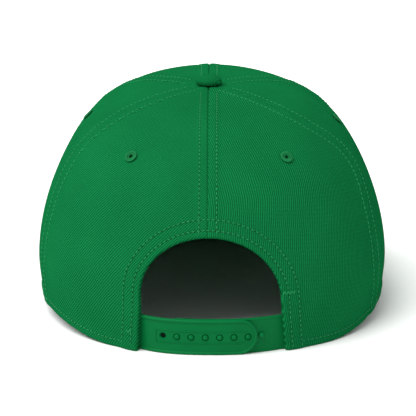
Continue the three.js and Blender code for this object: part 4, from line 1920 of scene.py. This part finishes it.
@dataclass
class Studio:
    """The floor, the lights and the camera."""

    form: CrownForm
    elevation: float = 15
    azimuth: float = 0.35
    distance: float = 1.0
    lens: float = 173.1
    sensor: float = 36
    floor_size: float = 30
    floor_gap: float = 0.05 * MM
    target_height: float = 44.5 * MM
    target_across: float = -2 * MM
    daylight: float = 0.63
    sun_power: float = 3.1
    sun_spread: float = 50
    sun_from: tuple[float, float, float] = (-0.54, -0.39, 1.0)
    boxes: tuple[SoftBox, ...] = (
        SoftBox("inside_fill", (0.0, 0.9, 0.5), 0.9, 3, (0.8, 1, 0.88)),
    )

    def floor(self) -> None:
        """Lays the floor."""
        deselect()
        bpy.ops.mesh.primitive_plane_add(size=self.floor_size, location=(0, 0, -self.floor_gap))
        obj = bpy.context.object
        obj.name = "studio_floor"
        obj.data.materials.append(FloorFinish().material())

    def camera(self, target: Vector) -> None:
        """Sets the camera at the photograph's angle."""
        azimuth = math.radians(self.azimuth)
        elevation = math.radians(self.elevation)
        back = Vector(
            (
                math.sin(azimuth) * math.cos(elevation),
                -math.cos(azimuth) * math.cos(elevation),
                math.sin(elevation),
            )
        )
        data = bpy.data.cameras.new("camera")
        data.lens = self.lens
        data.sensor_width = self.sensor
        obj = add("camera", data)
        obj.location = target + back * self.distance
        obj.rotation_euler = back.to_track_quat("Z", "Y").to_euler()
        bpy.context.scene.camera = obj

    def build(self) -> None:
        """Builds the studio."""
        target = Vector((self.target_across, self.form.axis_y, self.target_height))
        self.floor()
        self.camera(target)
        for box in self.boxes:
            box.build(target)
        sun = bpy.data.lights.new("window", "SUN")
        sun.energy = self.sun_power
        sun.angle = math.radians(self.sun_spread)
        add("window", sun).rotation_euler = Vector(self.sun_from).to_track_quat("Z", "Y").to_euler()
        bpy.context.scene.view_settings.view_transform = "Standard"
        world = bpy.data.worlds.new("daylight")
        world.use_nodes = True
        sky = world.node_tree.nodes["Background"].inputs
        sky["Color"].default_value = (1, 1, 1, 1)
        sky["Strength"].default_value = self.daylight
        bpy.context.scene.world = world


def main() -> None:
    """Loads the frame and dresses the cap, piece by piece."""
    logging.basicConfig(level=logging.INFO, format="%(name)s %(message)s")
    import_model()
    button_low, button_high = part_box("button")
    form = CrownForm(
        axis_y=(button_low.y + button_high.y) / 2,
        visor_root=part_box("visor")[1].z - CrownForm.visor_slope * CrownForm.cloth,
    )
    arch = ArchForm()
    Studio(form).build()
    twill = TwillFinish().material()
    thread = ThreadFinish().material()
    pit_shade = PIT_SHADOW.material()
    lining = BACKING.material()
    panels = CrownPanels(form, arch, twill, lining)
    surface = panels.build()
    stitching = Stitching(form, arch, panels.relief, surface, thread, pit_shade)
    stitching.build()
    Eyelets(panels, EYELET_THREAD.material()).build()
    Button(form, twill).build()
    Visor(form, twill, stitching).build()
    Sweatband(form, arch, BAND_WEAVE.material()).build()
    SnapStrap(form, arch, PlasticFinish().material(), SHADED_PLASTIC.material()).build()


if __name__ == "__main__":
    main()
